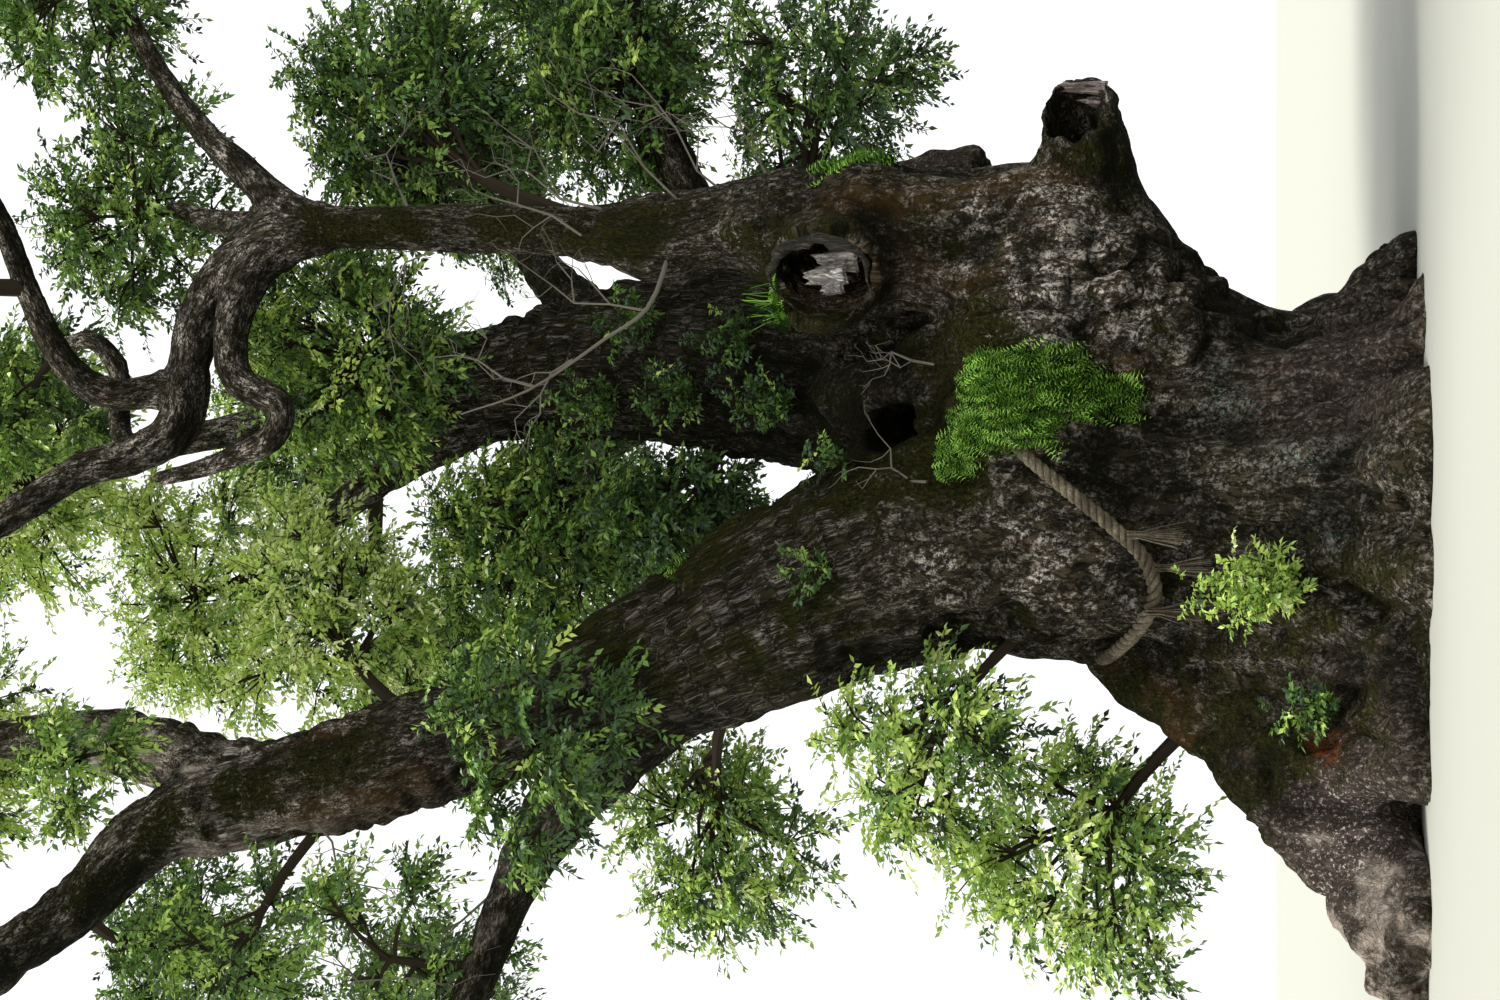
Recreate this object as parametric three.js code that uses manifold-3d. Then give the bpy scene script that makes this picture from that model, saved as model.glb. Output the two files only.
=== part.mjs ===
// A very old camphor tree. A buttressed trunk forks into three leaders, their boughs carry masses of
// foliage, a broken stub and a healed branch collar stand on the trunk, and a straw rope hangs round it.
// Millimetres, +Z up, seen along +Y. The origin is on the ground, on the flat cut under the trunk.
import * as THREE from "three";
import { mergeVertices } from "three/addons/utils/BufferGeometryUtils.js";
import Module from "manifold-3d";

const wasm = await Module();
wasm.setup();
const { Manifold } = wasm;

// Driving dimensions
const TRUNK_RADIUS = 2900;
const CROTCH_HEIGHT = 6100;
const CLEARANCE = 0.4;
const TRUNK_DETAIL = 60;
const MASS_DETAIL = 20;
const SLIVER = 0.05;
const PUSH_PASSES = 80;
const THICK_BOUGH = 350;
const ROPE_RADIUS = 95;
const TASSEL_LENGTH = 700;
const LEAF_SHARE = 0.54;
const LEAF_BREADTH = 0.66;
const LEAF_THICKNESS = 80;
const LEAF_SUNK = 0.25;
const TWIG_RADIUS = 48;
const TWIGS_PER_MASS = 5;
const LEAVES_PER_TWIG = 2;
const TWIG_REACH = 0.6;
const CORE_SHARE = 0.76;
const CORE_UNEVEN = 0.2;
const GOLDEN_ANGLE = 2.39996;

// Materials, with the colours that the tree shows in daylight
const finish = (color, roughness) => new THREE.MeshStandardMaterial({ color, roughness, metalness: 0 });
const BARK = finish(0x55493c, 0.92);
const FOLIAGE = finish(0x4f7a2c, 0.55);
const FERN = finish(0x3f8a1e, 0.7);
const STRAW = finish(0x8a7458, 0.9);

// Helpers that turn geometry into solids and back

function solidFrom(geometry) {
  const bare = geometry.clone();
  bare.deleteAttribute("normal");
  bare.deleteAttribute("uv");
  const merged = mergeVertices(bare, 1e-3);
  return new Manifold(
    new wasm.Mesh({
      numProp: 3,
      vertProperties: new Float32Array(merged.attributes.position.array),
      triVerts: new Uint32Array(merged.index.array),
    }),
  );
}

function geometryOf(solid) {
  const { vertProperties, triVerts, numProp } = solid.getMesh();
  const count = vertProperties.length / numProp;
  const points = new Float32Array(count * 3);
  for (let i = 0; i < count; i++) {
    points.set(vertProperties.subarray(i * numProp, i * numProp + 3), i * 3);
  }
  const geometry = new THREE.BufferGeometry();
  geometry.setAttribute("position", new THREE.BufferAttribute(points, 3));
  geometry.setIndex(new THREE.BufferAttribute(triVerts, 1));
  return geometry;
}

function meshFrom(name, solid, material) {
  const geometry = geometryOf(solid);
  geometry.computeVertexNormals();
  const mesh = new THREE.Mesh(geometry, material);
  mesh.name = name;
  return mesh;
}

const union = (solids) => solids.reduce((whole, solid) => whole.add(solid));

const largestBody = (solid) =>
  solid.decompose().reduce((best, body) => (body.volume() > best.volume() ? body : best));

function boxesMeet(a, b) {
  const [p, q] = [a.boundingBox(), b.boundingBox()];
  return [0, 1, 2].every((axis) => p.min[axis] <= q.max[axis] && q.min[axis] <= p.max[axis]);
}

// A copy whose faces all stand a little further out, so that a cut with it leaves an even gap
function swollen(solid, by) {
  const geometry = geometryOf(solid);
  const points = geometry.attributes.position;
  const corners = geometry.index.array;
  const around = Array.from({ length: points.count }, () => []);
  const corner = (i) => new THREE.Vector3().fromBufferAttribute(points, i);
  for (let i = 0; i < corners.length; i += 3) {
    const face = [corners[i], corners[i + 1], corners[i + 2]];
    const normal = new THREE.Triangle(...face.map(corner)).getNormal(new THREE.Vector3());
    face.forEach((index) => around[index].push(normal));
  }
  around.forEach((normals, index) => {
    const shift = new THREE.Vector3();
    for (let pass = 0; pass < PUSH_PASSES; pass++) {
      for (const normal of normals) shift.addScaledVector(normal, Math.max(0, by - shift.dot(normal)));
    }
    const place = corner(index).add(shift.clampLength(0, by * 12));
    points.setXYZ(index, place.x, place.y, place.z);
  });
  return solidFrom(geometry).add(solid);
}

// A small generator, so that every run grows the same tree
function seededRandom(seed) {
  let state = seed >>> 0;
  return () => {
    state = (Math.imul(state, 1664525) + 1013904223) >>> 0;
    return state / 4294967296;
  };
}

// A limb runs through its stations, each [x, y, z, radius], along one smooth curve

function curveOf(stations) {
  const places = stations.map(([x, y, z]) => new THREE.Vector3(x, y, z));
  return new THREE.CatmullRomCurve3(places, false, "centripetal");
}

function radiusAt(stations, t) {
  const along = t * (stations.length - 1);
  const before = Math.min(Math.floor(along), stations.length - 2);
  const share = along - before;
  return stations[before][3] * (1 - share) + stations[before + 1][3] * share;
}

// The limb starts as a closed cylinder, and each of its rings moves to its place on the curve.
// Ribs run along the bark as shallow waves in the section.
function limbSolid(stations, { sides = 8, rings = 2, ribs = 3, ribDepth = 0.05 } = {}) {
  const steps = Math.round((stations.length - 1) * rings);
  const geometry = new THREE.CylinderGeometry(1, 1, 1, sides, steps);
  const curve = curveOf(stations);
  const frames = [];
  let across = new THREE.Vector3(1, 0.13, 0.07);
  for (let step = 0; step <= steps; step++) {
    const t = step / steps;
    const tangent = curve.getTangent(t);
    across = across.clone().addScaledVector(tangent, -across.dot(tangent)).normalize();
    const side = new THREE.Vector3().crossVectors(across, tangent);
    frames.push({ centre: curve.getPoint(t), across, side, radius: radiusAt(stations, t), turn: t * 1.4 });
  }
  const points = geometry.attributes.position;
  for (let i = 0; i < points.count; i++) {
    const { centre, across: u, side: v, radius, turn } = frames[Math.round((points.getY(i) + 0.5) * steps)];
    const [x, z] = [points.getX(i), points.getZ(i)];
    const wave = radius * (1 + ribDepth * Math.sin(ribs * Math.atan2(z, x) + turn));
    const place = centre.clone().addScaledVector(u, x * wave).addScaledVector(v, z * wave);
    points.setXYZ(i, place.x, place.y, place.z);
  }
  return solidFrom(geometry);
}

// The trunk is a union of the lobes that the real one shows: a column, the bases of the three
// leaders, the overhang on the right, and buttresses that run down into root flares.

const COLUMN = [
  [-250, 100, -400, TRUNK_RADIUS + 150],
  [-150, 50, 1300, TRUNK_RADIUS - 250],
  [150, 0, 3000, TRUNK_RADIUS - 500],
  [400, 150, 4700, TRUNK_RADIUS - 450],
  [700, 300, CROTCH_HEIGHT - 100, TRUNK_RADIUS - 900],
  [800, 400, CROTCH_HEIGHT + 500, TRUNK_RADIUS - 1800],
];
const LEFT_BASE = [[-100, -500, 2400, 1900], [-350, -500, 4300, 1850], [-760, -590, 7250, 1400]];
const BACK_BASE = [[300, 900, 2600, 2000], [1000, 1300, 4800, 1950], [1700, 1900, 7200, 1700]];
const OVERHANG = [
  [900, -500, 1900, 1300],
  [1900, -800, 3200, 1350],
  [3050, -900, 4450, 1500],
  [3700, -900, 6000, 1170],
  [3850, -900, 7500, 1000],
  [3930, -830, 8400, 800],
];
const INNER_STEM = [
  [2300, -1100, 4900, 900],
  [2050, -900, 6100, 620],
  [1750, -500, 7100, 500],
  [1500, 300, 8100, 420],
];
const SADDLE = [[-300, -900, 4300, 1250], [900, -1500, 4900, 1150], [2300, -1400, 4900, 1150]];

// The shell of the left flare, the fill behind it, and the leg in front
const LEFT_FLARE = [
  [
    [-2350, -800, 4150, 180],
    [-2700, -900, 3300, 480],
    [-3150, -1200, 2300, 640],
    [-3900, -1700, 1450, 780],
    [-4600, -2300, 700, 680],
    [-5300, -2800, 200, 520],
  ],
  [[-1100, -400, 3700, 900], [-1900, -700, 2300, 1200], [-2600, -1000, 900, 1400], [-3000, -1300, -300, 1500]],
  [[-3300, -1600, 1700, 620], [-3450, -2400, 1000, 520], [-3350, -3050, 350, 470], [-3250, -3400, -250, 480]],
];
const ROOT_TOES = [
  [[-4900, -2500, 600, 420], [-5600, -2800, 380, 330], [-6050, -3200, -150, 260]],
  [[-5000, -2700, 500, 380], [-5350, -3300, 250, 300], [-5450, -3700, -200, 240]],
  [[-4800, -2200, 500, 360], [-5700, -2300, 260, 280], [-6500, -2100, -120, 200]],
  [[-4400, -2500, 450, 360], [-4650, -3200, 200, 280], [-4750, -3600, -200, 240]],
];

// Each front rib is [x at the ground, y at the ground, height, radius at the ground]
const FRONT_RIBS = [
  [-2000, -2450, 2500, 930],
  [-750, -2900, 1500, 620],
  [250, -2950, 3500, 600],
  [1200, -2700, 2200, 800],
  [2000, -2150, 3200, 680],
  [2450, -1000, 2300, 760],
  [2650, 800, 2100, 800],
];
const BACK_RIBS = 6;

// Burls under the overhang, on the outer side of the right leader, and on the left flare
const BURLS = [
  [2150, -2150, 3050, 330],
  [2750, -2050, 3150, 300],
  [1900, -2250, 3600, 260],
  [3400, -2000, 3700, 300],
  [2700, -2300, 3900, 270],
  [4850, 50, 7150, 300],
  [5000, 100, 6700, 360],
  [4980, 100, 6250, 300],
  [-4050, -2350, 1450, 560],
  [-5280, -3000, 440, 520],
];

// A healed branch collar: a ring of bark round a deep hole, with a splinter of dead wood inside
const COLLAR = [[3900, -700, 7700, 1000], [3500, -1450, 7800, 930], [3140, -2120, 7900, 830]];
const COLLAR_HOLE = [[3650, -1150, 7750, 380], [3350, -1750, 7840, 520], [3000, -2350, 7950, 600]];
const SPLINTER = [[3650, -1200, 7500, 230], [3450, -1600, 7800, 150], [3330, -1800, 8180, 35]];
const CAVITY = [[1050, -1500, 7150, 330], [1000, -700, 7000, 420], [1100, 100, 6800, 330]];

function rib([x, y, height, radius]) {
  return [
    [x * 0.55 + 100, y * 0.55, height, radius * 0.65],
    [x * 0.82, y * 0.82, height * 0.45, radius * 0.85],
    [x * 0.93, y * 0.93, height * 0.16, radius],
    [x * 1.12, y * 1.12, -350, radius * 1.25],
  ];
}

function backRibs() {
  const random = seededRandom(11);
  const ribs = [];
  for (let i = 0; i < BACK_RIBS; i++) {
    const angle = Math.PI * (0.1 + (0.8 * (i + 0.5)) / BACK_RIBS);
    const reach = TRUNK_RADIUS * (0.95 + 0.3 * random());
    const height = 1700 + 1700 * random();
    const radius = 600 + 400 * random();
    ribs.push([-Math.cos(angle) * reach, Math.sin(angle) * reach, height, radius]);
  }
  return ribs;
}

function burl([x, y, z, radius]) {
  const ball = new THREE.IcosahedronGeometry(radius, 1);
  return solidFrom(ball.translate(x, y, z));
}

function trunkSolid() {
  const lobe = { sides: 11, rings: 1, ribs: 4, ribDepth: 0.04 };
  const root = { sides: 7, rings: 1, ribs: 2, ribDepth: 0.08 };
  const pocket = { sides: 9, rings: 1, ribs: 3, ribDepth: 0.12 };
  const column = limbSolid(COLUMN, { ...lobe, sides: 18, ribs: 5, ribDepth: 0.05 });
  const lobes = [LEFT_BASE, BACK_BASE, OVERHANG, INNER_STEM, SADDLE, COLLAR];
  const roots = [...LEFT_FLARE, ...ROOT_TOES, ...FRONT_RIBS.map(rib), ...backRibs().map(rib)];
  const below = new THREE.BoxGeometry(20000, 20000, 4000).translate(0, 0, -2000);
  const whole = union([
    column,
    ...lobes.map((stations) => limbSolid(stations, lobe)),
    ...roots.map((stations) => limbSolid(stations, root)),
    ...BURLS.map(burl),
  ]);
  const carved = [COLLAR_HOLE, CAVITY].reduce((left, hole) => left.subtract(limbSolid(hole, pocket)), whole);
  const mended = carved.add(limbSolid(SPLINTER, { sides: 5 })).subtract(solidFrom(below));
  return largestBody(largestBody(mended).simplify(TRUNK_DETAIL));
}

// Every bough is one tapering limb. It starts inside the limb that carries it and is cut back to it.
// The limbs whose bends are seen in front have stations.
const BOUGHS = {
  left_leader: [
    [-480, -550, 5900, 1500],
    [-1000, -580, 7500, 1480],
    [-1570, -500, 8900, 1400],
    [-2350, -400, 10500, 1230],
    [-3200, -300, 12500, 980],
    [-3850, -200, 14500, 770],
    [-4500, 0, 16500, 860],
    [-4850, 0, 17900, 800],
    [-5000, 0, 18700, 640],
  ],
  back_leader: [
    [1500, 1700, 6300, 1650],
    [2000, 2300, 8400, 1600],
    [2300, 2900, 10300, 1560],
    [2400, 3500, 12600, 1400],
    [2200, 4000, 15000, 1020],
    [1900, 4300, 17600, 680],
  ],
  right_leader: [
    [3880, -880, 7700, 900],
    [3980, -780, 8700, 740],
    [4060, -700, 9500, 590],
    [3960, -600, 10900, 600],
    [4130, -500, 12000, 400],
    [4270, -500, 14700, 330],
    [4310, -500, 16500, 340],
    [4200, -500, 17300, 390],
  ],
  broken_stub: [[3300, -900, 4450, 1000], [4200, -1100, 4330, 760], [5000, -1350, 4330, 600], [5500, -1500, 4400, 520]],
  left_fork: [
    [-4950, 0, 18100, 600],
    [-5420, -400, 19500, 570],
    [-6000, -650, 20100, 530],
    [-6650, -900, 20650, 490],
    [-7600, -1600, 21850, 400],
    [-8600, -2200, 23000, 270],
    [-9200, -2500, 23900, 170],
  ],
  centre_fork: [
    [-4750, 150, 18100, 620],
    [-4260, 600, 20200, 550],
    [-4150, 900, 22200, 480],
    [-4300, 1150, 23600, 340],
    [-4450, 1300, 24600, 220],
  ],
  left_arm: [
    [-3300, -50, 11150, 620],
    [-4600, -200, 12200, 420],
    [-5860, -600, 13000, 340],
    [-7000, -1000, 13400, 300],
    [-8200, -1500, 13800, 260],
    [-9800, -2000, 14600, 200],
    [-10900, -2300, 15300, 130],
  ],
  s_low: [
    [4150, -540, 17050, 250],
    [3570, -700, 17600, 300],
    [2430, -1000, 17800, 255],
    [1850, -1150, 17500, 240],
    [1450, -1200, 16800, 230],
    [1000, -1150, 16950, 210],
    [730, -1050, 17600, 200],
    [500, -1000, 18300, 170],
    [350, -900, 19100, 120],
  ],
  s_up: [
    [4230, -470, 16950, 280],
    [3950, -420, 17850, 400],
    [3100, -300, 18650, 375],
    [2200, -200, 19000, 360],
    [1250, -300, 19100, 335],
    [740, -500, 19800, 285],
    [500, -800, 20600, 270],
    [0, -1200, 21300, 255],
    [-800, -1700, 22200, 210],
    [-1500, -2200, 23100, 130],
  ],
  s_rise: [
    [1900, -220, 19000, 260],
    [1750, -400, 20350, 255],
    [2200, -600, 21000, 245],
    [3350, -900, 21500, 215],
    [4700, -1300, 21850, 190],
    [6000, -1900, 22500, 140],
  ],
  s_curl: [[750, -300, 20000, 190], [1300, 250, 20600, 180], [2250, 350, 20700, 185], [2750, 400, 21300, 165], [2500, 500, 22000, 120]],
};

// The boughs behind them follow a rule, from [limb that carries it, share of the way along that limb,
// radius there, tip, radius at the tip]. They rise in an arch and taper fastest near the start.
const SIDE_BOUGHS = {
  left_back_bough: ["left_leader", 0.4, 600, [-9000, 4400, 15700], 170],
  front_left_bough: ["left_fork", 0.66, 320, [-6700, -5200, 22700], 160],
  crown_bough: ["back_leader", 0.96, 560, [700, 3800, 23300], 170],
  back_left_bough: ["back_leader", 0.68, 620, [-1400, 5400, 20700], 180],
  back_mid_bough: ["back_leader", 0.46, 700, [100, 10000, 15700], 170],
  back_right_bough: ["back_leader", 0.58, 700, [6500, 8600, 17000], 170],
  back_high_bough: ["back_leader", 0.86, 520, [1900, 8300, 20700], 190],
  right_back_bough: ["back_leader", 0.32, 600, [9600, 3300, 12700], 160],
  right_top_bough: ["right_leader", 0.93, 330, [5000, 1000, 20000], 140],
  right_high_bough: ["right_leader", 0.87, 320, [8200, 800, 20700], 140],
};
const SIDE_STEPS = 4;
const BOUGH_LIFT = 0.07;
const BOUGH_TAPER = 0.65;

function sideStations([carrier, share, thick, tip, thin]) {
  const start = curveOf(BOUGHS[carrier]).getPoint(share);
  const end = new THREE.Vector3(...tip);
  const length = start.distanceTo(end);
  return Array.from({ length: SIDE_STEPS + 1 }, (_, i) => {
    const s = i / SIDE_STEPS;
    const place = start.clone().lerp(end, s);
    place.z += length * BOUGH_LIFT * Math.sin(Math.PI * s);
    return [...place.toArray(), thick + (thin - thick) * s ** BOUGH_TAPER];
  });
}

for (const [name, sizes] of Object.entries(SIDE_BOUGHS)) BOUGHS[name] = sideStations(sizes);

// The stub has rotted out: its hollow opens to the front, under a curled lip
const STUB_HOLLOW = [[4900, -1000, 4400, 190], [5200, -1500, 4400, 330], [5400, -2500, 4400, 410]];

const cutBack = (solid, placed) =>
  placed.reduce((left, { gap }) => (boxesMeet(left, gap) ? left.subtract(gap) : left), solid);

function growBough(name, placed) {
  const stations = BOUGHS[name];
  const thick = stations[0][3] > THICK_BOUGH;
  let solid = cutBack(limbSolid(stations, { sides: thick ? 10 : 6, rings: thick ? 1.5 : 1 }), placed);
  if (name === "broken_stub") {
    const pocket = { sides: 9, rings: 1, ribs: 2, ribDepth: 0.1 };
    solid = solid.subtract(limbSolid(STUB_HOLLOW, pocket));
  }
  return largestBody(solid).simplify(SLIVER);
}

// Each mass of foliage is [limb that carries it, start of its stem, centre, radii, whether it is dense].
// A start is a share of the way along the limb, or a place.
const MASSES = {
  foliage_low_left_outer: ["trunk", [-2500, -700, 2300], [-5300, 200, 4500], [2400, 2000, 2300], true],
  foliage_low_left_inner: ["trunk", [-1500, -900, 4900], [-3500, -1600, 6500], [1900, 1500, 1700], true],
  foliage_mid_left: ["left_leader", 0.28, [-5700, 2600, 10700], [2600, 2100, 2300], true],
  foliage_leader_front: ["left_leader", 0.42, [-3500, -2600, 12000], [2200, 1400, 1900], true],
  foliage_left_arm_rise: ["left_arm", 0.52, [-7000, -1400, 15000], [2000, 1900, 1600], true],
  foliage_left_arm_tip: ["left_arm", 1, [-11700, -2500, 16700], [2900, 2900, 2500], true],
  foliage_left_rod: ["left_leader", 0.7, [-7500, -700, 17900], [2200, 2000, 1900], true],
  foliage_fork_front: ["centre_fork", 0.4, [-4200, -1350, 20300], [1150, 1000, 1300], true],
  foliage_left_top: ["left_fork", 1, [-9900, -2900, 24600], [3200, 3000, 2400], true],
  foliage_centre_top: ["centre_fork", 1, [-4700, 1500, 25400], [3200, 3100, 2100], true],
  foliage_front_left: ["front_left_bough", 1, [-5900, -7100, 23500], [3300, 3100, 2200], true],
  foliage_left_back: ["left_back_bough", 1, [-10400, 5300, 17000], [3200, 3200, 2600], true],
  foliage_back_left: ["back_left_bough", 0.55, [-3900, 8100, 18400], [3000, 2800, 2500], true],
  foliage_centre_mid: ["left_leader", 0.62, [-2000, 2600, 17900], [2800, 2300, 2700], true],
  foliage_centre_high: ["back_left_bough", 1, [-1900, 5300, 22300], [2900, 2700, 2300], true],
  foliage_centre_low: ["back_leader", 0.62, [-700, 3700, 14400], [2800, 2200, 2500], true],
  foliage_back_low: ["back_leader", 0.4, [-1900, 7200, 12200], [2900, 2700, 2300], true],
  foliage_centre_right: ["back_leader", 0.85, [2500, 1900, 17200], [2900, 1900, 2600], true],
  foliage_crown: ["crown_bough", 1, [500, 3600, 24900], [3400, 3300, 2300], true],
  foliage_curl: ["s_curl", 1, [1800, 1500, 23200], [1700, 1400, 1500], true],
  foliage_stem_right: ["right_leader", 0.46, [6600, 2100, 16100], [2800, 2400, 2800], true],
  foliage_right_mid: ["right_back_bough", 0.6, [7300, 3100, 12700], [2800, 2300, 2100], true],
  foliage_right_tip: ["right_back_bough", 1, [10900, 3200, 14500], [3000, 3000, 2500], true],
  foliage_right_low: ["back_leader", 0.2, [7000, 4000, 9300], [2900, 2600, 2300], true],
  foliage_right_top: ["right_top_bough", 1, [5000, 1500, 21100], [2800, 2300, 2200], true],
  foliage_right_high: ["right_high_bough", 1, [9300, 1100, 22000], [3100, 3000, 2400], true],
  foliage_rise_tip: ["s_rise", 1, [7100, -3100, 24000], [2800, 2700, 2000], true],
  foliage_s_tip: ["s_up", 1, [-1800, -3000, 24400], [2700, 2700, 1900], true],
  foliage_back_tip: ["back_mid_bough", 1, [-300, 11400, 16600], [3100, 2900, 2600], true],
  foliage_back_right: ["back_right_bough", 1, [7000, 9900, 18300], [3100, 3000, 2600], true],
  foliage_back_high: ["back_high_bough", 1, [1600, 9400, 22300], [3200, 3000, 2400], true],
  foliage_front_right: ["s_rise", 0.62, [3300, -6600, 24000], [3000, 2900, 2000], true],
  foliage_right_back: ["back_right_bough", 0.5, [9800, 7500, 15400], [2700, 2600, 2200], true],
  foliage_left_high: ["left_fork", 0.5, [-8500, 3400, 21300], [2600, 2600, 2000], true],
  foliage_between: ["back_leader", 0.3, [-400, 2700, 11400], [1500, 1500, 1900], true],
  shoots_front: ["trunk", [-950, -1900, 1500], [-1050, -3500, 2250], [620, 560, 620], false],
};

// The direction of a twig on an even spiral over the sphere, with a little chance in it
function twigDirection(i, count, random) {
  const height = 1 - (2 * (i + 0.5)) / count + 0.3 * (random() - 0.5);
  const flat = Math.sqrt(Math.max(0, 1 - height * height));
  const angle = i * GOLDEN_ANGLE + 0.9 * random();
  return new THREE.Vector3(flat * Math.cos(angle), flat * Math.sin(angle), height);
}

const inSpace = (solid, centre, radii) => {
  const { vertProperties: points, numProp } = solid.getMesh();
  for (let i = 0; i < points.length; i += numProp) {
    const [x, y, z] = [0, 1, 2].map((axis) => (points[i + axis] - centre[axis]) / radii[axis]);
    if (x * x + y * y + z * z > 1) return false;
  }
  return true;
};

const touches = (solid, placed) => placed.some(({ gap }) => boxesMeet(solid, gap) && !solid.intersect(gap).isEmpty());

// One leaf stands for a spray. Its root is sunk into the twig and its face looks up.
function leafSolid(root, direction, length) {
  const blade = new THREE.OctahedronGeometry(1, 0);
  const along = direction.clone().normalize();
  const across = new THREE.Vector3(0, 0, 1).cross(along).normalize();
  const up = new THREE.Vector3().crossVectors(along, across);
  const turn = new THREE.Matrix4().makeBasis(
    along.clone().multiplyScalar(length / 2),
    across.multiplyScalar((length * LEAF_BREADTH) / 2),
    up.multiplyScalar(LEAF_THICKNESS / 2),
  );
  const centre = root.clone().addScaledVector(along, length * (0.5 - LEAF_SUNK));
  return solidFrom(blade.applyMatrix4(turn.setPosition(centre)));
}

// The dense inside of a mass is a ball of a few faces, uneven in every direction
function coreSolid(centre, radii, random) {
  const ball = new THREE.IcosahedronGeometry(1, 0);
  ball.deleteAttribute("normal");
  ball.deleteAttribute("uv");
  const core = mergeVertices(ball.rotateZ(random() * 3).rotateX(random() * 3), 1e-3);
  const points = core.attributes.position;
  for (let i = 0; i < points.count; i++) {
    const swell = CORE_SHARE * (1 + CORE_UNEVEN * (2 * random() - 1));
    const [x, y, z] = radii.map((radius, axis) => centre[axis] + radius * swell * points.getComponent(i, axis));
    points.setXYZ(i, x, y, z);
  }
  return solidFrom(core);
}

function growMass(name, seed, placed) {
  const [carrier, start, centre, radii, dense] = MASSES[name];
  const random = seededRandom(seed);
  const middle = new THREE.Vector3(...centre);
  const size = (radii[0] + radii[1] + radii[2]) / 3;
  let root = start;
  let thickness = size * 0.09;
  if (typeof start === "number") {
    const stations = BOUGHS[carrier];
    root = curveOf(stations).getPoint(start).toArray();
    thickness = Math.min(thickness, radiusAt(stations, start) * 0.8);
  }
  const from = new THREE.Vector3(...root);
  const bend = from.clone().lerp(middle, 0.5);
  bend.z += from.distanceTo(middle) * 0.07;
  const stem = [
    [...from.toArray(), thickness],
    [...bend.toArray(), thickness * 0.75],
    [...middle.toArray(), TWIG_RADIUS * 1.3],
  ];
  const stemCurve = curveOf(stem);
  const pieces = [limbSolid(stem, { sides: 4, rings: 1 })];
  if (dense) pieces.push(coreSolid(centre, radii, random));
  for (let i = 0; i < TWIGS_PER_MASS; i++) {
    const direction = twigDirection(i, TWIGS_PER_MASS, random);
    const reach = new THREE.Vector3(...radii).multiplyScalar(TWIG_REACH).multiply(direction);
    const tip = middle.clone().add(reach);
    const fork = stemCurve.getPoint(0.82 + 0.15 * random());
    const arch = fork.clone().lerp(tip, 0.5);
    arch.z += size * 0.06;
    const radius = Math.min(TWIG_RADIUS, size * 0.03);
    const twig = [fork, arch, tip].map((place, k) => [...place.toArray(), radius * (1 - 0.2 * k)]);
    const twigCurve = curveOf(twig);
    const wood = limbSolid(twig, { sides: 3, rings: 1, ribDepth: 0 });
    const leafy = [];
    for (let k = 0; k < LEAVES_PER_TWIG; k++) {
      const turn = k === 0 ? 0 : (k % 2 ? 1 : -1) * (0.7 + 0.5 * random());
      const heading = direction.clone().applyAxisAngle(new THREE.Vector3(0, 0, 1), turn);
      heading.z -= 0.25 + 0.2 * random();
      const leaf = leafSolid(twigCurve.getPoint(1 - 0.2 * k), heading, size * LEAF_SHARE);
      if (inSpace(leaf, centre, radii) && !touches(leaf, placed)) leafy.push(leaf);
    }
    if (inSpace(wood, centre, radii) && !touches(wood, placed)) pieces.push(wood, ...leafy);
  }
  return largestBody(cutBack(union(pieces).simplify(MASS_DETAIL), placed)).simplify(SLIVER);
}

// Green fronds that hang down the front of the crotch
const FERN_BED = [[1150, -2050, 6150, 520], [1300, -2600, 5600, 620], [1350, -2750, 4700, 520], [1350, -2850, 3800, 260]];
const FRONDS = 8;
const FROND_LENGTH = 820;

function fernSolid(placed) {
  const random = seededRandom(5);
  const bed = limbSolid(FERN_BED, { sides: 7, rings: 1, ribDepth: 0.1 });
  const curve = curveOf(FERN_BED);
  const pieces = [bed];
  for (let i = 0; i < FRONDS; i++) {
    const root = curve.getPoint((i + 0.5) / FRONDS);
    const heading = new THREE.Vector3(1.5 * (random() - 0.5), -0.55, -0.5 - 0.7 * random());
    root.addScaledVector(heading, 190);
    pieces.push(leafSolid(root, heading, FROND_LENGTH * (0.8 + 0.4 * random())));
  }
  return largestBody(cutBack(union(pieces).simplify(MASS_DETAIL), placed)).simplify(SLIVER);
}

// A straw rope lies round the left leader's base. Each way point is [x, y, z], found again on the bark
// by looking at it from outside, level or from above.
const ROPE_WAY = [
  [950, -1700, 6600, "above"],
  [750, -2600, 5200, "level"],
  [250, -2900, 4500, "level"],
  [-260, -3000, 3850, "level"],
  [-750, -3000, 3400, "level"],
  [-1220, -2900, 3260, "level"],
  [-1700, -2500, 3450, "level"],
  [-2200, -1900, 3750, "level"],
  [-2500, -1100, 4050, "level"],
  [-2500, -300, 4400, "level"],
  [-2200, 700, 4900, "level"],
  [-1500, 1400, 5500, "level"],
];
const TASSELS = [
  [-1500, -2700, 3350],
  [-950, -3000, 3300],
  [-450, -3050, 3650],
];

function onBark([x, y, z, look], bark) {
  const place = new THREE.Vector3(x, y, z);
  const out = look === "above" ? new THREE.Vector3(0, 0, 1) : new THREE.Vector3(x + 500, y + 600, 0).normalize();
  const eye = place.clone().addScaledVector(out, 1800);
  const [hit] = new THREE.Raycaster(eye, out.clone().negate()).intersectObject(bark);
  return (hit ? hit.point : place).clone().addScaledVector(out, ROPE_RADIUS * 1.05);
}

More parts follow.
